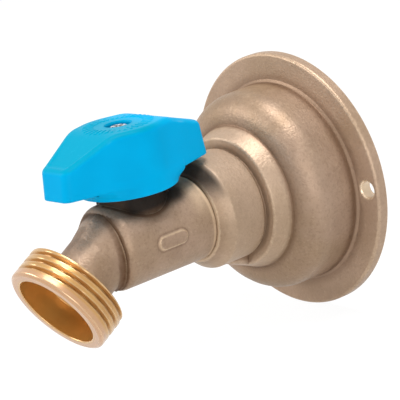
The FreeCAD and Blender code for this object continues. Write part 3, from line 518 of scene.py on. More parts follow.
# %% Plastic, brass and plain finishes
def moulded_plastic():
    """Glossy blue plastic with a faint mould ripple and tiny scuffs on top, with painted shade on upward faces,
    painted light towards the rear and painted glints on the top edges.
    """
    finish = Finish("blue_plastic")
    ripple, scuffs = finish.noise(8, 2), finish.noise(0.9, 4, 0.7)
    upward, off_stem = finish.surface("upward"), finish.off(STEM)
    edges = (finish.surface("bend") + (ripple - 0.5) * 0.4).step(0.17, 0.25)
    glints = edges * finish.along(STEM).step(25.5, 26.5) * off_stem.step(9.2, 10)
    colour = finish.mix(ripple.step(0.3, 0.7), tint(0, 165, 219), tint(0, 173, 227))
    colour = finish.layers(colour, [
        # Painted shade: upward faces are made darker.
        (upward.step(0.1, 0.85), (0, 150, 182)),
        (scuffs.step(0.55, 0.8) * upward.step(0.5, 0.9) * 0.25, (70, 190, 220)),
        # Painted light: lighter towards the rear wing.
        (finish.along(PIPE).step(54, 44) * 0.6, (0, 184, 244)),
        # Painted glints on the top edges.
        (glints * 0.4, (170, 228, 244)),
    ])
    finish.set("Base Color", colour)
    finish.set("Roughness", 0.3 + scuffs * 0.12)
    finish.set("Specular IOR Level", 0.03)
    finish.set("Normal", finish.bump(ripple * 0.8 + scuffs * 0.1, 0.05))
    return finish.material


def turned_brass():
    """Brass with fine turning lines round the stem."""
    finish = Finish("turned_brass", metallic=0.9)
    lines = finish.noise(0.35, 2, 0.6, stretch=(0.15, 0.15, 3.0))
    finish.set("Base Color", finish.mix(lines, tint(186, 138, 84), tint(226, 180, 120)))
    finish.set("Roughness", 0.34 + lines * 0.15)
    finish.set("Normal", finish.bump(lines, 0.02))
    return finish.material


def plain_finish(name, dark, light, metallic, roughness, width, depth):
    """A plain finish: two close tints in a fine grain, with a slight bump."""
    finish = Finish(name, metallic=metallic)
    grain = finish.noise(width, 3, 0.6)
    finish.set("Base Color", finish.mix(grain.step(0.3, 0.7), tint(*dark), tint(*light)))
    finish.set("Roughness", roughness + (grain - 0.5) * 0.15)
    finish.set("Normal", finish.bump(grain, depth))
    return finish.material


# %% Finishes of the material slots
slot_finishes = {
    "cast_bronze": body_bronze,
    "turned_brass": turned_brass(),
    "ball_chrome": plain_finish("ball_chrome", (205, 208, 212), (222, 224, 228), 1.0, 0.14, 3.0, 0.004),
    "seat_polymer": plain_finish("seat_polymer", (222, 220, 212), (236, 234, 228), 0.0, 0.5, 0.8, 0.01),
    "seal_rubber": plain_finish("seal_rubber", (26, 26, 27), (40, 40, 42), 0.0, 0.62, 0.5, 0.02),
    "handle_plastic": moulded_plastic(),
    "screw_steel": plain_finish("screw_steel", (176, 178, 180), (214, 216, 220), 1.0, 0.3, 0.4, 0.01),
}
for part in frame["record"]["subparts"]:
    materials = nodes[part["node"]].data.materials
    materials.clear()
    materials.append(slot_finishes[part["material_slot"]])
print("finishes:", sorted(slot_finishes))

# %% [markdown]
# ## The wall flange
# One casting: a flat rim, a hollow dome, a step ring, a groove and a collar that the barrel screws
# into, with a threaded hub for the pipe inside. It could be a solid dome with its back cut out, but
# one closed outline, front and back, gives all of it with an even wall. The outline's points lie
# closer together in the bore, where the pipe thread needs them.

# %% Outline of the flange
flange_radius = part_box("wall_flange")[1].x / MM
flange_reach = -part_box("wall_flange")[0].y / MM
port_radius, spigot_bore = 4.7, 9.95
pipe_bore, pipe_depth, pipe_pitch, pipe_thread = 9.3, 15.0, 1.814, 0.9
rim = [(0, flange_radius, 0.3), (3.1, flange_radius, 0.75), (3.1, 26.9, 0.5), (3.6, 26.1, 0.45)]
dome = [(17.2, 25.9, 6.5), (18.2, 18.7, 0.7)]
step_ring = [(19.4, 18.25, 0.5), (22.9, 16.7, 0.9), (22.8, 13.7, 0.35)]
groove = [(23.7, 13.7, 0.3), (23.7, 14.3, 0.4)]
collar = [(33.2, 14.3, 1.2), (36.0, 11.95, 0.3), (36.45, 11.6, 0.2), (flange_reach, 11.2, 0.15)]
bores = [(flange_reach, spigot_bore), (26.6, spigot_bore), (26.6, port_radius), (pipe_depth, port_radius),
         (pipe_depth, pipe_bore, 0.2), (0.6, pipe_bore), (0.6, 12.6, 0.6)]
behind = [(16.5, 12.6, 1.5), (16.5, 15.0, 1.2), (14.2, 22.9, 3.5), (0, 23.1, 0.4)]
bore_step = 0.15
outline = soften(rim + dome + step_ring + groove + collar + bores + behind, loop=True)
in_bore = (np.abs(outline[:, 1] - pipe_bore) < 1e-6) & (outline[:, 0] < pipe_depth)
bore_start = outline[in_bore][0]
bore_end = outline[in_bore][-1]
bore_places = np.arange(bore_start[0], bore_end[0], -bore_step)
bore_run = np.stack([bore_places, np.full_like(bore_places, pipe_bore)], 1)
first, last = np.flatnonzero(in_bore)[[0, -1]]
outline = np.concatenate([outline[:first], bore_run, outline[last:]])


def pipe_thread_radius(angle, place, radius):
    """Grooves of the pipe thread: the bore's radius plus a depth that rises and falls once a turn."""
    turn = (place / pipe_pitch - angle / (2 * math.pi)) % 1
    groove = np.clip(1.35 - 2.7 * np.abs(turn - 0.5) * 2, 0, 1) * pipe_thread
    inside = (np.abs(radius - pipe_bore) < 1e-6) & (place < pipe_depth - 1.5)
    return radius + np.where(inside, groove, 0)


flange = solid("wall_flange_casting", turned(PIPE, outline, 232, pipe_thread_radius), loop=True)
print("flange outline has", len(outline), "points")

# %% [markdown]
# A rib stiffens the casting between the step ring and the collar, at the bottom. It could be a cube
# with a Bevel modifier, but its depth changes along its length, so it is a stack of rounded
# rectangles. A superellipse, |x/a|^n + |z/b|^n = 1, is a rounded rectangle with one formula. The
# two screw holes are drilled last, so that their countersinks cut cleanly through the rim.


# %% Rib
def bar(name, line, places, centres, half_widths, half_heights, sectors=48, power=6.0):
    """A bar along a line with superellipse sections, closed at both ends by a pole."""
    angle = angles_round(sectors)[:, None]
    reach = (np.abs(np.cos(angle)) ** power + np.abs(np.sin(angle)) ** power) ** (-1 / power)
    closed = np.concatenate([[0], np.ones(len(places)), [0]])
    ends = np.r_[0, np.arange(len(places)), len(places) - 1]
    across = reach * np.cos(angle) * half_widths[ends] * closed
    rise = centres[ends] + reach * np.sin(angle) * half_heights[ends] * closed
    return solid(name, line.at(places[ends], across, rise))


rib_start, rib_end, rib_root, rib_deep, rib_shallow, rib_width = 17.0, 30.2, 11.5, 18.9, 14.3, 4.0
rib_places = np.linspace(rib_start, rib_end, 30)
rib_drop = rib_deep + (rib_places - 17.5) / 12.0 * (rib_shallow - rib_deep)
rib_ease = np.sqrt(np.clip((30.4 - rib_places) / 2.5, 0.02, 1))
rib_half = (rib_drop - rib_root) / 2 * rib_ease
rib = bar("rib", PIPE, rib_places, -rib_root - rib_half, rib_width * rib_ease ** 0.5, rib_half, power=3.0)
combine(flange, [rib], "UNION")

# %% Screw holes
screw_radius, mouth_radius, screw_offset = 2.15, 2.6, flange_radius - 3.55
hole = soften([(-2, 0), (-2, screw_radius), (2.85, screw_radius), (3.3, mouth_radius),
               (5, mouth_radius), (5, 0)])
drills = [solid("drill", turned(Line((x, 0, 0), PIPE.along, PIPE.side, PIPE.up), hole, 48))
          for x in (screw_offset, -screw_offset)]
combine(flange, drills, "DIFFERENCE")


# %% Finish of the flange
def flange_cut(finish):
    """Machined metal in the screw holes, the spigot's bore, the pipe thread and the flat back."""
    near_pipe = finish.off(PIPE).step(10.6, 10.3)
    holes = None
    for x in (screw_offset, -screw_offset):
        hole_mask = finish.off(Line((x, 0, 0), PIPE.along, PIPE.side, PIPE.up)).step(2.75, 2.5)
        holes = hole_mask if holes is None else holes + hole_mask
    return near_pipe.maths("MAXIMUM", holes)


flange_bronze = cast_bronze("bronze_flange", flange_cut, painted_shadow_marks)
finish_piece(flange, "housing", flange_bronze, ["wall_flange"])

# %% [markdown]
# ## The valve body
# The barrel, the bonnet boss and the nozzle are one casting. Each is a turned shape whose radius is
# changed a little by a formula: a raised blank pad on the barrel's sides, the parting ridge that the
# two halves of the mould leave, a flared foot on the boss, and the helix of the hose thread. Sculpted
# shapes could look as good, but these keep the radius and the thread's pitch exact.

# %% Barrel with its pads and parting ridge
barrel_radius, barrel_reach, barrel_round, seam_reach = 10.85, 64.4, 3.0, 37.1
pad_reach, pad_rise, pad_length, pad_width, pad_height = 50.6, -0.2, 9.0, 3.4, 0.5


def pad_edge(place, rise):
    """Distance outside the pads' outline, which is a strip with round ends."""
    run = np.maximum(np.abs(place - pad_reach) - (pad_length - pad_width) / 2, 0)
    return np.hypot(run, rise - pad_rise) - pad_width / 2


def barrel_radius_at(angle, place, radius):
    """The barrel's radius, raised inside the pads' outline and along the parting line."""
    pad = pad_height * np.clip(0.5 - pad_edge(place, radius * np.sin(angle)) / 0.45, 0, 1)
    ridge = 0.14 * np.exp(-((radius * np.cos(angle) / 0.45) ** 2))
    return radius + pad + ridge * (place < barrel_reach - 2)


spigot_reach, spigot_radius, barrel_start = 28.5, 9.9, seam_reach - 0.4
barrel_outline = soften([
    (spigot_reach, 0), (spigot_reach, spigot_radius, 0.4), (barrel_start, spigot_radius),
    (barrel_start, barrel_radius, 0.2), (barrel_reach, barrel_radius, barrel_round), (barrel_reach, 0),
], step=0.3)
barrel = solid("valve_body_casting", turned(PIPE, barrel_outline, 288, barrel_radius_at))
print("barrel outline has", len(barrel_outline), "points")

# %% [markdown]
# The packing nut screws down on an upright boss. Where the boss meets the barrel, the mould gives a
# soft hollow corner. A Bevel modifier needs that corner as an edge, and there is none until the two
# shapes are joined, so the corner is worked out first: at each angle the foot is an arc that touches
# both the upright wall and the barrel's slope.

# %% Bonnet boss with a filleted foot
boss_radius, boss_low, boss_top, gland_radius, gland_top = 8.0, 2, 13.0, 5.6, 17.4
foot_round, foot_sink = 1.2, 2.5


def boss_grid(sectors=160, arc_steps=9, wall_steps=8):
    """The boss on the stem line. The arc at its foot turns through 90 degrees less the barrel's slope, and
    starts radius * tan(half the turn) above the corner."""
    angle = angles_round(sectors)[:, None]
    corner = np.sqrt(barrel_radius ** 2 - (boss_radius * np.cos(angle)) ** 2)
    turn = math.pi / 2 - np.arctan(boss_radius * np.cos(angle) ** 2 / corner)
    start = corner + foot_round * np.tan(turn / 2)
    sweep = turn * np.linspace(1, 0, arc_steps)[None]
    arc = start - foot_round * np.sin(sweep), boss_radius + foot_round * (1 - np.cos(sweep))
    wall_top = boss_top - 0.4
    wall = start + (wall_top - start) * np.linspace(0, 1, wall_steps, endpoint=False)[None, 1:]
    cap = soften([(wall_top, boss_radius), (boss_top, boss_radius, 0.4), (boss_top, gland_radius, 0.2),
                  (gland_top, gland_radius, 0.3), (gland_top, 0)], step=0.3)
    cap = cap[:, :1].T + 0 * angle, cap[:, 1:].T + 0 * angle
    heights = np.concatenate([0 * angle + boss_low, corner - foot_sink, arc[0], wall, cap[0]], axis=1)
    radii = np.concatenate([0 * angle, 0 * angle + boss_radius, arc[1], 0 * wall + boss_radius, cap[1]], axis=1)
    return STEM.at(heights, radii * np.cos(angle), radii * np.sin(angle))


boss = solid("boss", boss_grid())
print("boss has", len(boss.data.polygons), "faces")

# %% [markdown]
# Two cast lugs stop the handle, one where the tap is open and one where it is shut. A lug could be a
# cube with a bend, but a section carried round the stem line has its ends exactly on a radius, and
# they meet the handle's tab face to face. The same function makes that tab.

# %% Stops for the quarter turn
stop_root, stop_radius, stop_floor, stop_top, stop_width, stop_gap = 7.4, 9.3, 7.0, 14.6, 20.0, 1.5


def stop_block(name, start, inner, outer, low, high):
    """A piece of ring wall on the stem line: a rounded bar, |x|^n + |z|^n = 1, bent round a circle."""
    angle, power, turns_inside = angles_round(48)[:, None], 8.0, 12
    reach = (np.abs(np.cos(angle)) ** power + np.abs(np.sin(angle)) ** power) ** (-1 / power)
    turns = np.radians(np.r_[start, np.linspace(start, start + stop_width, turns_inside), start + stop_width])
    closed = np.r_[0, np.ones(turns_inside), 0]
    radius = (outer + inner) / 2 + reach * np.cos(angle) * (outer - inner) / 2 * closed
    height = (low + high) / 2 + reach * np.sin(angle) * (high - low) / 2 * closed
    return solid(name, STEM.at(height, radius * np.cos(turns), radius * np.sin(turns)))


half_tab = stop_width / 2
stop_starts = {"open_stop": 180 + half_tab + stop_gap, "shut_stop": 90 - half_tab - stop_gap - stop_width}
stops = [stop_block(name, start, stop_root, stop_radius, stop_floor, stop_top)
         for name, start in stop_starts.items()]
print("stops start at", stop_starts, "degrees")

# %% [markdown]
# The hose thread is a groove that winds round the nozzle. At each point, the turn count is the place
# along the line over the pitch, less the angle over a full circle. Its fraction says how far the
# point is from the middle of the groove, and so how deep the groove is there. The groove fades out
# before the lip, as it does where the tool is drawn back. A coiled tube could be cut out of the
# nozzle instead, but a change of radius leaves one clean surface with nothing to join.

# %% Nozzle with its neck, hose thread and cup
thread_radius, thread_pitch, thread_depth = 13.5, 2.209, 0.9
thread_crest, thread_root = 1.0, 0.1
cup_radius, cup_floor, neck_bore, foot_hollow, filed_depth = 10.7, 13.0, 5.6, 1.3, 0.16


def barrel_gap(points):
    """Distance from points to the barrel's skin: that of a cylinder whose end is rounded, below 0 inside it."""
    out = np.hypot(points[..., 0], points[..., 2]) - (barrel_radius - barrel_round)
    beyond = -points[..., 1] - (barrel_reach - barrel_round)
    outside = np.hypot(np.maximum(out, 0), np.maximum(beyond, 0))
    return outside + np.minimum(np.maximum(out, beyond), 0) - barrel_round


def nozzle_radius_at(angle, place, radius):
    """The nozzle's radius: less the thread's groove, plus a hollow foot against the barrel, filed on top."""
    turn = ((place - thread_back) / thread_pitch - angle / (2 * math.pi)) % 1
    off_centre = np.abs(turn - 0.5) * thread_pitch
    half_mouth = (thread_pitch - thread_crest) / 2
    wall = np.clip((half_mouth - off_centre) / (half_mouth - thread_root / 2), 0, 1)
    wall = wall * wall * (3 - 2 * wall) * 0.6 + wall * 0.4
    fade = np.clip((nozzle_length - 1.6 - place) / 0.9, 0, 1)
    threaded = (place > thread_back) & (radius > cup_radius + 0.6)
    grooved = np.maximum(radius - thread_depth * wall * fade, cup_radius + 0.9)
    radius = np.where(threaded, np.minimum(radius, grooved), radius)
    on_neck = (place > -4.9) & (place < thread_back - 0.3) & (radius > neck_bore + 1)
    gap = barrel_gap(NOZZLE.at(place, radius * np.cos(angle), radius * np.sin(angle)))
    near = np.clip(1 - gap / foot_hollow, 0, 1)
    flare = foot_hollow * (1 - np.sqrt(1 - near ** 2)) * np.clip(1 + gap / 0.8, 0, 1)
    flare = flare * np.clip(1.15 - 1.15 * np.sin(angle), 0, 1)
    across = radius * np.cos(angle)
    filed = np.clip((0.1 - across) / 0.2, 0, 1) * np.clip((across + 6.0) / 3.0, 0, 1) * (np.sin(angle) > 0)
    filed = filed * np.clip((thread_back - 0.5 - place) / 0.6, 0, 1)
    return np.where(on_neck, radius + flare - filed_depth * filed, radius)


neck = [(-5, 0), (-5, 8.6), (-1.5, 8.6, 3.0), (3.5, 7.85, 3.0), (thread_back - 0.1, 7.8, 0.5)]
hose_end = [(thread_back, 12.6, 0.3), (thread_back + 0.3, thread_radius, 0.3),
            (nozzle_length - 0.5, thread_radius, 0.5), (nozzle_length, 12.65, 0.45)]
cup = [(nozzle_length, cup_radius, 0.35), (cup_floor, cup_radius, 0.5), (cup_floor, neck_bore, 0.3),
       (1, neck_bore), (1, 0)]
nozzle_outline = soften(neck + hose_end + cup, step=0.14)
nozzle = solid("nozzle", turned(NOZZLE, nozzle_outline, 300, nozzle_radius_at))
print("nozzle outline has", len(nozzle_outline), "points")

# %% [markdown]
# The outside is joined first and the bores are cut last, because a boss or a nozzle joined later
# would fill them again. The water's way, the way into the neck and the way of the stem are each a
# turned outline, so each leaves round walls and clean steps for the pieces inside. The casting is
# then told where its finish paints shade and where it paints highlights on worn metal, as a value at
# each vertex.

# %% Bores, and the casting put together
chamber_radius, water_start, seat_back = 8.2, 27, stem_reach + 8.4
water_end, neck_end = elbow_reach + 1, cup_floor + 0.5
shoulder_radius, shoulder_top, stem_bore = 4.72, 10.6, 3.06
packing_radius, packing_floor, packing_end = 4.3, 13.8, 18.4
waterway = soften([(water_start, 0), (water_start, chamber_radius), (seat_back, chamber_radius),
                   (seat_back, port_radius), (water_end, port_radius), (water_end, 0)], step=3)
neck_way = soften([(-1, 0), (-1, port_radius), (1.5, neck_bore), (neck_end, neck_bore), (neck_end, 0)], step=3)
stem_way = soften([(0, 0), (0, shoulder_radius), (shoulder_top, shoulder_radius), (shoulder_top, stem_bore),
                   (packing_floor, stem_bore), (packing_floor, packing_radius), (packing_end, packing_radius),
                   (packing_end, 0)], step=3)
combine(barrel, [boss, nozzle] + stops, "UNION")
combine(barrel, [solid("waterway", turned(PIPE, waterway, 96)), solid("neck_way", turned(NOZZLE, neck_way, 96)),
                 solid("stem_way", turned(STEM, stem_way, 96))], "DIFFERENCE")


# %% Painted shade and painted highlights of the casting
def bell(value, middle, width):
    """A bell curve: 1 where a value is at the middle, and near 0 beyond twice the width from it."""
    return np.exp(-((value - middle) / width) ** 2)


def body_shade_and_sheen(points):
    """Painted shade where the neck leaves the barrel, round the boss's foot under the handle and on the filed
    side of the neck, above 0.
    Below 0, painted highlight where the metal is also worn: on the barrel's top near the seam, on the seam's
    edge and on the pads' edges."""
    off = points - NOZZLE.origin
    place, rise = off @ NOZZLE.along, off @ NOZZLE.up
    radius = np.linalg.norm(off - place[:, None] * NOZZLE.along, axis=1)
    across, height, reach = points[:, 0], points[:, 2], -points[:, 1]
    out, gap = np.hypot(across, height), barrel_gap(points)
    on_neck = (place > -4) & (place < 9) & (radius < 11)
    from_crease = np.hypot(np.maximum(gap, 0) / 1.0, np.maximum(radius - 8.95, 0) / 0.5)
    crease = bell(from_crease, 0, 1) * on_neck
    foot = bell(np.hypot(across, reach - stem_reach), boss_radius, 1.4) * (height > 5)
    filed_side = np.clip((0.2 - across) / 0.3, 0, 1) * np.clip(rise - 4, 0, 1) * on_neck * (place > 0)
    ridge = bell(across, 0.2, 0.2) * (rise > 4) * on_neck * (place > 0)
    # Painted shade: the neck's crease, the boss's foot under the handle, and the filed side with its ridge.
    dark_shade = np.maximum(np.maximum(crease * 0.8, foot * 0.85), filed_side * 0.28 + ridge * 0.3)
    # Painted highlight, partly worn metal: the seam's edge, the barrel's top near the seam, lighter towards the
    # top, and the pads' edges.
    seam_edge = bell(reach, seam_reach + 0.2, 0.4) * (out > 10) * (out < 11.5)
    near_seam = bell(reach, 39.5, 3.5) * np.clip(height / 6, 0, 1) * (gap < 0.3) * (out < 11.5)
    outside = pad_edge(reach, height)
    pads = bell(outside, -0.1, 0.25) - 0.6 * bell(outside, 0.45, 0.25)
    pads = pads * (np.abs(across) > 9) * (np.abs(gap) < 0.7)
    return dark_shade - 0.6 * pads - 0.5 * near_seam - 0.6 * seam_edge


# Painted shade and painted highlight, kept at each vertex for the finish.
store(barrel.data, "shade_and_sheen", body_shade_and_sheen(read_rows(barrel.data.vertices, "co", 3) / MM))
finish_piece(barrel, "housing", body_bronze, ["valve_body"])

# %% [markdown]
# ## The wing handle
# The handle is one plastic moulding: a hub with a skirt over the packing nut, and two wings in line
# with the pipe. Seen from above, the straight sides of the wings touch the round hub. A cube could
# be subdivided and pushed into this shape, but its sides would hardly run into the hub so exactly.
# So the plan is drawn from arcs and tangents, and it is worked out at each height, because the
# mould's draft makes it a little smaller towards the top.

# %% Plan of the handle
handle_top, skirt_bottom, hub_radius, skirt_radius = 28.7, 12.6, 11.5, 12.2
wing_reach, wing_tip_reach, wing_half_width, wing_round = 22.3, 21.6, 4.9, 2.6
wing_bottom, front_tip_top, rear_tip_top, slope_start, slope_round = 15.5, 22.2, 23.9, 8.3, 9.0
edge_round, nut_cavity_top, skirt_inner = 1.5, 19.2, 9.6
front_tip_round, rear_tip_round = 1.6, 3.4


def wings_plan(height, inset=0.0, counts=(34, 36, 12, 10)):
    """The plan at each height, moved in by an inset. A quarter of it is a hub arc, a side that touches it, a
    corner arc and a tip. The side leans by atan2(tip, wide) - arccos(hub / distance of the corner)."""
    height, inset = np.broadcast_arrays(np.asarray(height, float), np.asarray(inset, float))
    rise = (height - skirt_bottom) / (handle_top - skirt_bottom)
    hub = (skirt_radius + (hub_radius - skirt_radius) * rise - inset)[:, None]
    tip = wing_reach + (wing_tip_reach - wing_reach) * (height - wing_bottom) / (front_tip_top - wing_bottom)
    tip, wide = (tip - inset)[:, None], (wing_half_width - inset)[:, None]
    corner = wing_round - inset[:, None]
    lean = np.arctan2(tip, wide) - np.arccos(hub / np.hypot(wide, tip))
    share = [np.linspace(0, 1, count, endpoint=False)[None] for count in counts]
    arc = np.stack([hub * np.cos(lean * share[0]), hub * np.sin(lean * share[0])], -1)
    touch = np.stack([hub * np.cos(lean), hub * np.sin(lean)], -1)
    point = np.stack([wide, tip], -1)
    side = (touch - point) / np.linalg.norm(touch - point, axis=-1, keepdims=True)
    half = np.arccos(-side[..., 0]) / 2
    start = point + side * (corner / np.tan(half))[..., None]
    side_run = touch + (start - touch) * share[1][..., None]
    normal = np.stack([-side[..., 1], side[..., 0]], -1)
    normal = normal * np.sign(-normal[..., :1])
    centre = start + normal * corner[..., None]
    first = np.arctan2(-normal[..., 1], -normal[..., 0])
    turn = first + (math.pi / 2 - first) * share[2]
    corner_run = centre + corner[..., None] * np.stack([np.cos(turn), np.sin(turn)], -1)
    last = centre + corner[..., None] * np.array([0.0, 1.0])
    tip_run = last * np.stack([1 - share[3], np.ones_like(share[3])], -1)
    quarter = np.concatenate([arc, side_run, corner_run, tip_run], axis=1)
    end = last * np.array([0.0, 1.0])
    first_half = np.concatenate([quarter, end, (quarter * [-1, 1])[:, :0:-1]], axis=1)
    middle = quarter[:, :1] * [-1, 1]
    return np.concatenate([first_half, middle, (first_half * [1, -1])[:, :0:-1]], axis=1)


print("the plan has", wings_plan([wing_bottom]).shape[1], "points")


# %% Top of the handle
def wings_top(out):
    """Height of the top at a distance from the stem line, below 0 towards the outlet: flat, then a slope,
    with a round arc at the crease. The front wing slopes down further than the rear one."""
    tip_top = np.where(out < 0, front_tip_top, rear_tip_top)
    reach = np.abs(out)
    angle = np.arctan2(handle_top - tip_top, wing_tip_reach - slope_start)
    blend = slope_round * np.tan(angle / 2)
    slope_height = handle_top - (reach - slope_start) * np.tan(angle)
    along_arc = reach - slope_start + blend
    arc_height = handle_top - slope_round + np.sqrt(np.maximum(slope_round ** 2 - along_arc ** 2, 0))
    on_slope = reach > slope_start + blend * np.cos(angle)
    top = np.where(reach < slope_start - blend, handle_top, np.where(on_slope, slope_height, arc_height))
    tip_round = np.where(out < 0, front_tip_round, rear_tip_round)
    past = np.clip(reach - (wing_tip_reach - tip_round), 0, tip_round)
    return top - tip_round + np.sqrt(tip_round ** 2 - past ** 2)


# %% [markdown]
# The wings are a stack of such plans, closed below, and above by plans that shrink to one point. The
# top carries a ring of small raised bars round the screw, to grip by. They could be joined on one by
# one, but as part of the height they cost nothing: a bar is where the angle round the stem line,
# folded to one of equal sectors, is near the middle of its sector.

# %% Wings and grip bars
bar_count, bar_height, bar_width, bar_low, bar_high = 34, 0.2, 0.7, 6.0, 8.8


def grip_bars(x, y):
    """Height of the raised bars: 1 within a rounded strip of each sector, easing to 0 outside it."""
    radius, angle = np.hypot(x, y), np.arctan2(y, x)
    sector = 2 * math.pi / bar_count
    side = np.abs((angle / sector) % 1 - 0.5) * sector * radius
    run = np.maximum(np.abs(radius - (bar_low + bar_high) / 2) - (bar_high - bar_low - bar_width) / 2, 0)
    return bar_height * np.clip((bar_width / 2 + 0.1 - np.hypot(side, run)) / 0.2, 0, 1)


def wings_ring(heights, inset=0.0, share=1.0):
    """One closed ring of the wings' surface, each point at its own height and moved in by an inset."""
    count = len(wings_plan([wing_bottom])[0])
    heights = np.broadcast_to(np.asarray(heights, float), (count,))
    plan = wings_plan(heights, inset)[np.arange(count), np.arange(count)] * share
    return np.column_stack([plan, heights])


low_round, top_turns = 0.35, np.radians(np.linspace(0, 90, 10))
inner = wings_plan([handle_top], edge_round)[0]
edge = wings_top(inner[:, 1])
rings = [wings_ring(wing_bottom, low_round, share) for share in (0.0, 0.5, 0.9)]
rings += [wings_ring(wing_bottom + low_round * (1 - np.cos(turn)), low_round * (1 - np.sin(turn)))
          for turn in np.radians(np.linspace(0, 90, 4))]
low, high = wing_bottom + low_round, edge - edge_round
rings += [wings_ring(low + (high - low) * share) for share in np.linspace(0.06, 1, 16)]
rings += [wings_ring(edge - edge_round * (1 - np.sin(turn)), edge_round * (1 - np.cos(turn)))
          for turn in top_turns[1:]]
top_shares = np.linspace(1, 0, 76)[1:, None]
top_x, top_y = inner[:, 0] * top_shares, inner[:, 1] * top_shares
top_height = wings_top(top_y) + grip_bars(top_x, top_y)
wings_rings = np.concatenate([np.stack(rings), np.stack([top_x, top_y, top_height], -1)])
wings_grid = STEM.at(wings_rings[..., 2], wings_rings[..., 0], wings_rings[..., 1])
handle = solid("wing_handle", np.swapaxes(wings_grid, 0, 1))


# %% Skirt of the handle
def skirt_grid(sectors=240, proud=0.05, flare_reach=14.2, bottom_round=0.4, skirt_end=19.0):
    """The skirt: a cone whose foot is round, and which flares out to the plan of the wings' sides above it.
    Past the angle where a side leaves the hub, the plan's radius is hub / cos(angle past it). The flare stands
    a hair proud of the sides at first and slips under them higher up, so that the two run together."""
    angle = angles_round(sectors)[:, None]
    turn, upper = np.linspace(0, math.pi / 2, 6), np.linspace(skirt_bottom + 0.6, skirt_end, 18)
    heights = np.concatenate([skirt_bottom + bottom_round * (1 - np.cos(turn)), upper])[None]
    rounding = np.concatenate([bottom_round * (1 - np.sin(turn)), 0 * upper])[None]
    cone = skirt_radius + (hub_radius - skirt_radius) * (heights - skirt_bottom) / (handle_top - skirt_bottom)
    lean = math.atan2(wing_reach, wing_half_width) - np.arccos(cone / math.hypot(wing_half_width, wing_reach))
    folded = np.arctan2(np.abs(np.sin(angle)), np.abs(np.cos(angle)))
    sides = cone / np.cos(np.clip(folded - lean, 0, 1.2))
    share = np.clip((heights - skirt_bottom - 0.2) / 2.8, 0, 1)
    flare = (np.minimum(sides, flare_reach) - cone) * share * share * (3 - 2 * share)
    slip = np.clip((heights - wing_bottom - 0.5) / 2.2, 0, 1)
    radii = cone + flare - rounding + proud - 4 * proud * slip * slip
    radii = np.concatenate([0 * angle, radii, 0 * angle], axis=1)
    heights = np.concatenate([[[skirt_bottom]], heights, [[skirt_end]]], axis=1) + 0 * radii
    return STEM.at(heights, radii * np.cos(angle), radii * np.sin(angle))


skirt = solid("skirt", skirt_grid())
print("wings grid:", wings_grid.shape, "skirt faces:", len(skirt.data.polygons))

# %% [markdown]
# A thick lump of plastic would shrink and warp, so the moulding is hollow from below: a wide cavity
# over the packing nut, and two pockets in each wing with a rib between them. A flatted socket takes
# the stem, and the recess on top takes the screw. A Solidify modifier would give the walls one
# thickness all over, and that is not what the ribs and the socket have, so each hollow is a shape of
# its own and is cut out.

# %% Hollows of the handle
recess_radius, recess_floor, pocket_depth, pocket_rib, pocket_wide, wall = 3.3, 24.9, 3.6, 1.6, 5.2, 2.3
stem_radius, stem_flat = 3.08, 2.28


def prism(name, plan, low, high):
    """A closed prism: a plan outline at two heights, with a pole in the middle of each end."""
    plan = plan[:, None] * np.ones((1, 4, 1))
    middle = plan.mean(axis=0)
    plan[:, 0], plan[:, 3] = middle[0], middle[3]
    heights = np.array([low, low, high, high])
    return solid(name, STEM.at(np.broadcast_to(heights, plan.shape[:2]), plan[..., 0], plan[..., 1]))


def flatted(angle, place, radius):
    """A round rod with two flats: the radius is the lesser of its own and flat / |cos angle|."""
    return np.minimum(radius, stem_flat / np.maximum(np.abs(np.cos(angle)), 1e-6))


hollow = soften([
    (skirt_bottom - 1, 0), (skirt_bottom - 1, skirt_inner + 1.3), (skirt_bottom + 0.3, skirt_inner),
    (nut_cavity_top, skirt_inner, 0.6), (nut_cavity_top, 0),
], step=1)
recess = soften([(recess_floor, 0), (recess_floor, recess_radius, 0.3), (handle_top - 0.4, recess_radius, 0.3),
                 (handle_top + 0.3, recess_radius + 0.4), (handle_top + 0.3, 0)], step=0.6)
socket = soften([(nut_cavity_top - 1, 0), (nut_cavity_top - 1, stem_radius), (recess_floor + 0.5, stem_radius),
                 (recess_floor + 0.5, 0)], step=3)
pocket_start = hub_radius + pocket_rib / 2
pockets = []
for x in (1, -1):
    for y in (1, -1):
        corners = [(x * pocket_rib / 2, y * pocket_start, 0.5), (x * pocket_wide, y * pocket_start, 0.8),
                   (x * (wing_half_width - wall), y * (wing_reach - wall), 0.8),
                   (x * pocket_rib / 2, y * (wing_reach - wall), 0.5)]
        pockets.append(prism("pocket", soften(corners, loop=True), wing_bottom - 1, wing_bottom + pocket_depth))
tab_inner, tab_outer = 8.25, 10.0
tab = stop_block("tab", 180 - half_tab, tab_inner, tab_outer, skirt_bottom + 0.25, nut_cavity_top + 0.4)
combine(handle, [skirt], "UNION")
combine(handle, [solid("hollow", turned(STEM, hollow, 160)), solid("recess", turned(STEM, recess, 96)),
                 solid("socket", turned(STEM, socket, 96, flatted))] + pockets, "DIFFERENCE")
combine(handle, [tab], "UNION")
finish_piece(handle, "handle", slot_finishes["handle_plastic"], ["handle"], crease=32)

# %% [markdown]
# The screw in the recess is a small pan head with a cross slot. It is one turned outline, from which
# two crossing prisms are cut. Its steel is scratched bright and dark, with painted shade below the
# head's top and painted highlights on its edges, so that it glints against the blue wall of the recess.

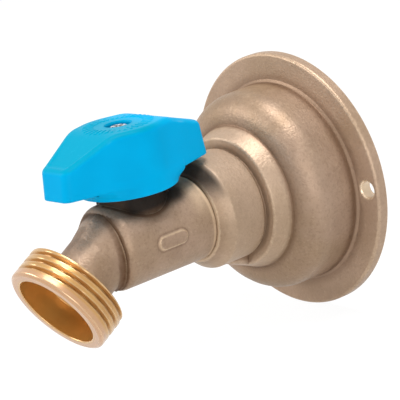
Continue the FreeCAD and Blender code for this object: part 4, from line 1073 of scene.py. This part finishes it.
# %% Handle screw
head_bottom, head_top, head_radius, shank_low, shank_radius = 25.65, 28.2, 2.3, 16.8, 1.95
slot_long, slot_half, slot_floor = 1.7, 0.36, 26.9
screw_outline = soften([
    (shank_low, 0), (shank_low, 1.35), (17.4, shank_radius), (head_bottom, shank_radius),
    (head_bottom, head_radius), (head_top, head_radius, 0.6), (head_top, 0),
], step=0.4)
screw = solid("screw", turned(STEM, screw_outline, 96))
slots = [prism("slot", soften([(-x, -y), (x, -y), (x, y), (-x, y)], loop=True), slot_floor, head_top + 0.5)
         for x, y in ((slot_long, slot_half), (slot_half, slot_long))]
combine(screw, slots, "DIFFERENCE")


# %% Finish of the screw
def scratched_steel():
    """Steel in bright and dark scratches, with painted shade below the head's top and painted highlights on its
    edges.
    """
    finish = Finish("scratched_steel", metallic=0.55)
    scratches = finish.noise(0.5, 3, 0.7)
    colour = finish.mix(scratches.step(0.42, 0.58), tint(92, 94, 98), tint(236, 238, 240))
    finish.set("Base Color", finish.layers(colour, [
        # Painted shade in the slot and round the head's side, below its top.
        (finish.along(STEM).step(head_top - 0.15, head_top - 0.5) * 0.9, (22, 24, 28)),
        # Painted highlights on the head's edges.
        (finish.surface("bend").step(0.4, 1.2) * 0.6, (250, 250, 250)),
    ]))
    finish.set("Roughness", 0.25 + scratches * 0.2)
    finish.set("Normal", finish.bump(scratches, 0.03))
    return finish.material


finish_piece(screw, "handle", scratched_steel(), ["handle_screw"], crease=32)

# %% [markdown]
# ## The camera, the floor and the light
# The camera stands where the photograph was taken: it was fitted to the ellipses of the flange and
# the outlet. The floor touches the lowest point of the flange. The world and the lamps are soft
# and plain, and rays that come from the camera, or from metal, see a white background.

# %% Camera
camera_place = np.array([378.94, -331.98, 129.18]) * MM
camera_right = (0.6452, 0.7464, -0.1629)
camera_up = (-0.0904, 0.2863, 0.9539)
camera_back = (0.7586, -0.6007, 0.2522)
camera_data = bpy.data.cameras.new("photo_camera")
camera_data.lens, camera_data.sensor_width = 180, 36
camera = placed("photo_camera", camera_data)
camera_turn = Matrix((camera_right, camera_up, camera_back)).transposed().to_4x4()
camera.matrix_world = Matrix.Translation(camera_place) @ camera_turn
bpy.context.scene.camera = camera
print("camera at", [round(float(v), 3) for v in camera_place])


# %% Floor
floor_height = cad_box[0][2] - 0.0004
floor_half = 4.0
floor_mesh = bpy.data.meshes.new("floor")
corner_signs = (-1, -1), (1, -1), (1, 1), (-1, 1)
floor_corners = [(x * floor_half, y * floor_half, floor_height) for x, y in corner_signs]
floor_mesh.from_pydata(floor_corners, [], [(0, 1, 2, 3)])
floor = placed("floor", floor_mesh)


def seen_rays(wiring):
    """1 for rays that come from the camera, or by way of a reflection or a clear surface."""
    camera_ray, glossy_ray, clear_ray = (wiring.add("LightPath", output=ray) for ray in (
        "Is Camera Ray", "Is Glossy Ray", "Is Transmission Ray"))
    return camera_ray.maths("MAXIMUM", glossy_ray).maths("MAXIMUM", clear_ray)


floor_finish = Finish("pale_floor", roughness=0.9)
floor_finish.set("Base Color", tint(244, 244, 244))
floor_finish.set("Specular IOR Level", 0.0)
white_share, white_level = 0.88, 1.08
white = floor_finish.add("Emission", None, {"Color": (1, 1, 1, 1), "Strength": white_level})
lit = Wire(floor_finish, floor_finish.shader.outputs[0])
both = floor_finish.add("MixShader", None, {0: seen_rays(floor_finish) * white_share, 1: lit, 2: white})
floor_finish.feed(floor_finish.nodes["Material Output"].inputs["Surface"], both)
floor_mesh.materials.append(floor_finish.material)
print("floor at height", round(floor_height / MM, 1))

# %% World and lamps
soft_level, seen_level = 0.2, 1.0
world = bpy.data.worlds.new("studio")
bpy.context.scene.world = world
world.use_nodes = True
sky = Wiring(world.node_tree)
background = world.node_tree.nodes["Background"]
background.inputs["Color"].default_value = (1, 1, 1, 1)
sky.feed(background.inputs["Strength"], soft_level + seen_rays(sky) * (seen_level - soft_level))


def lamp(name, place, aim, width, watts):
    """A square area lamp at a place, turned towards a point."""
    data = bpy.data.lights.new(name, "AREA")
    data.size, data.energy = width, watts
    turn = (Vector(aim) - Vector(place)).to_track_quat("-Z", "Y")
    placed(name, data).matrix_world = Matrix.Translation(place) @ turn.to_matrix().to_4x4()


middle = (0, -0.04, 0)
lamp("overhead_key", (0.09, -0.04, 0.62), middle, 0.36, 4.1)
lamp("left_fill", (-0.46, -0.56, 0.4), middle, 0.4, 3.1)
lamp("right_fill", (0.5, -0.4, 0.03), middle, 0.4, 1.7)
bpy.context.scene.view_settings.view_transform = "Standard"
print("lamps:", [light.name for light in bpy.data.lights])
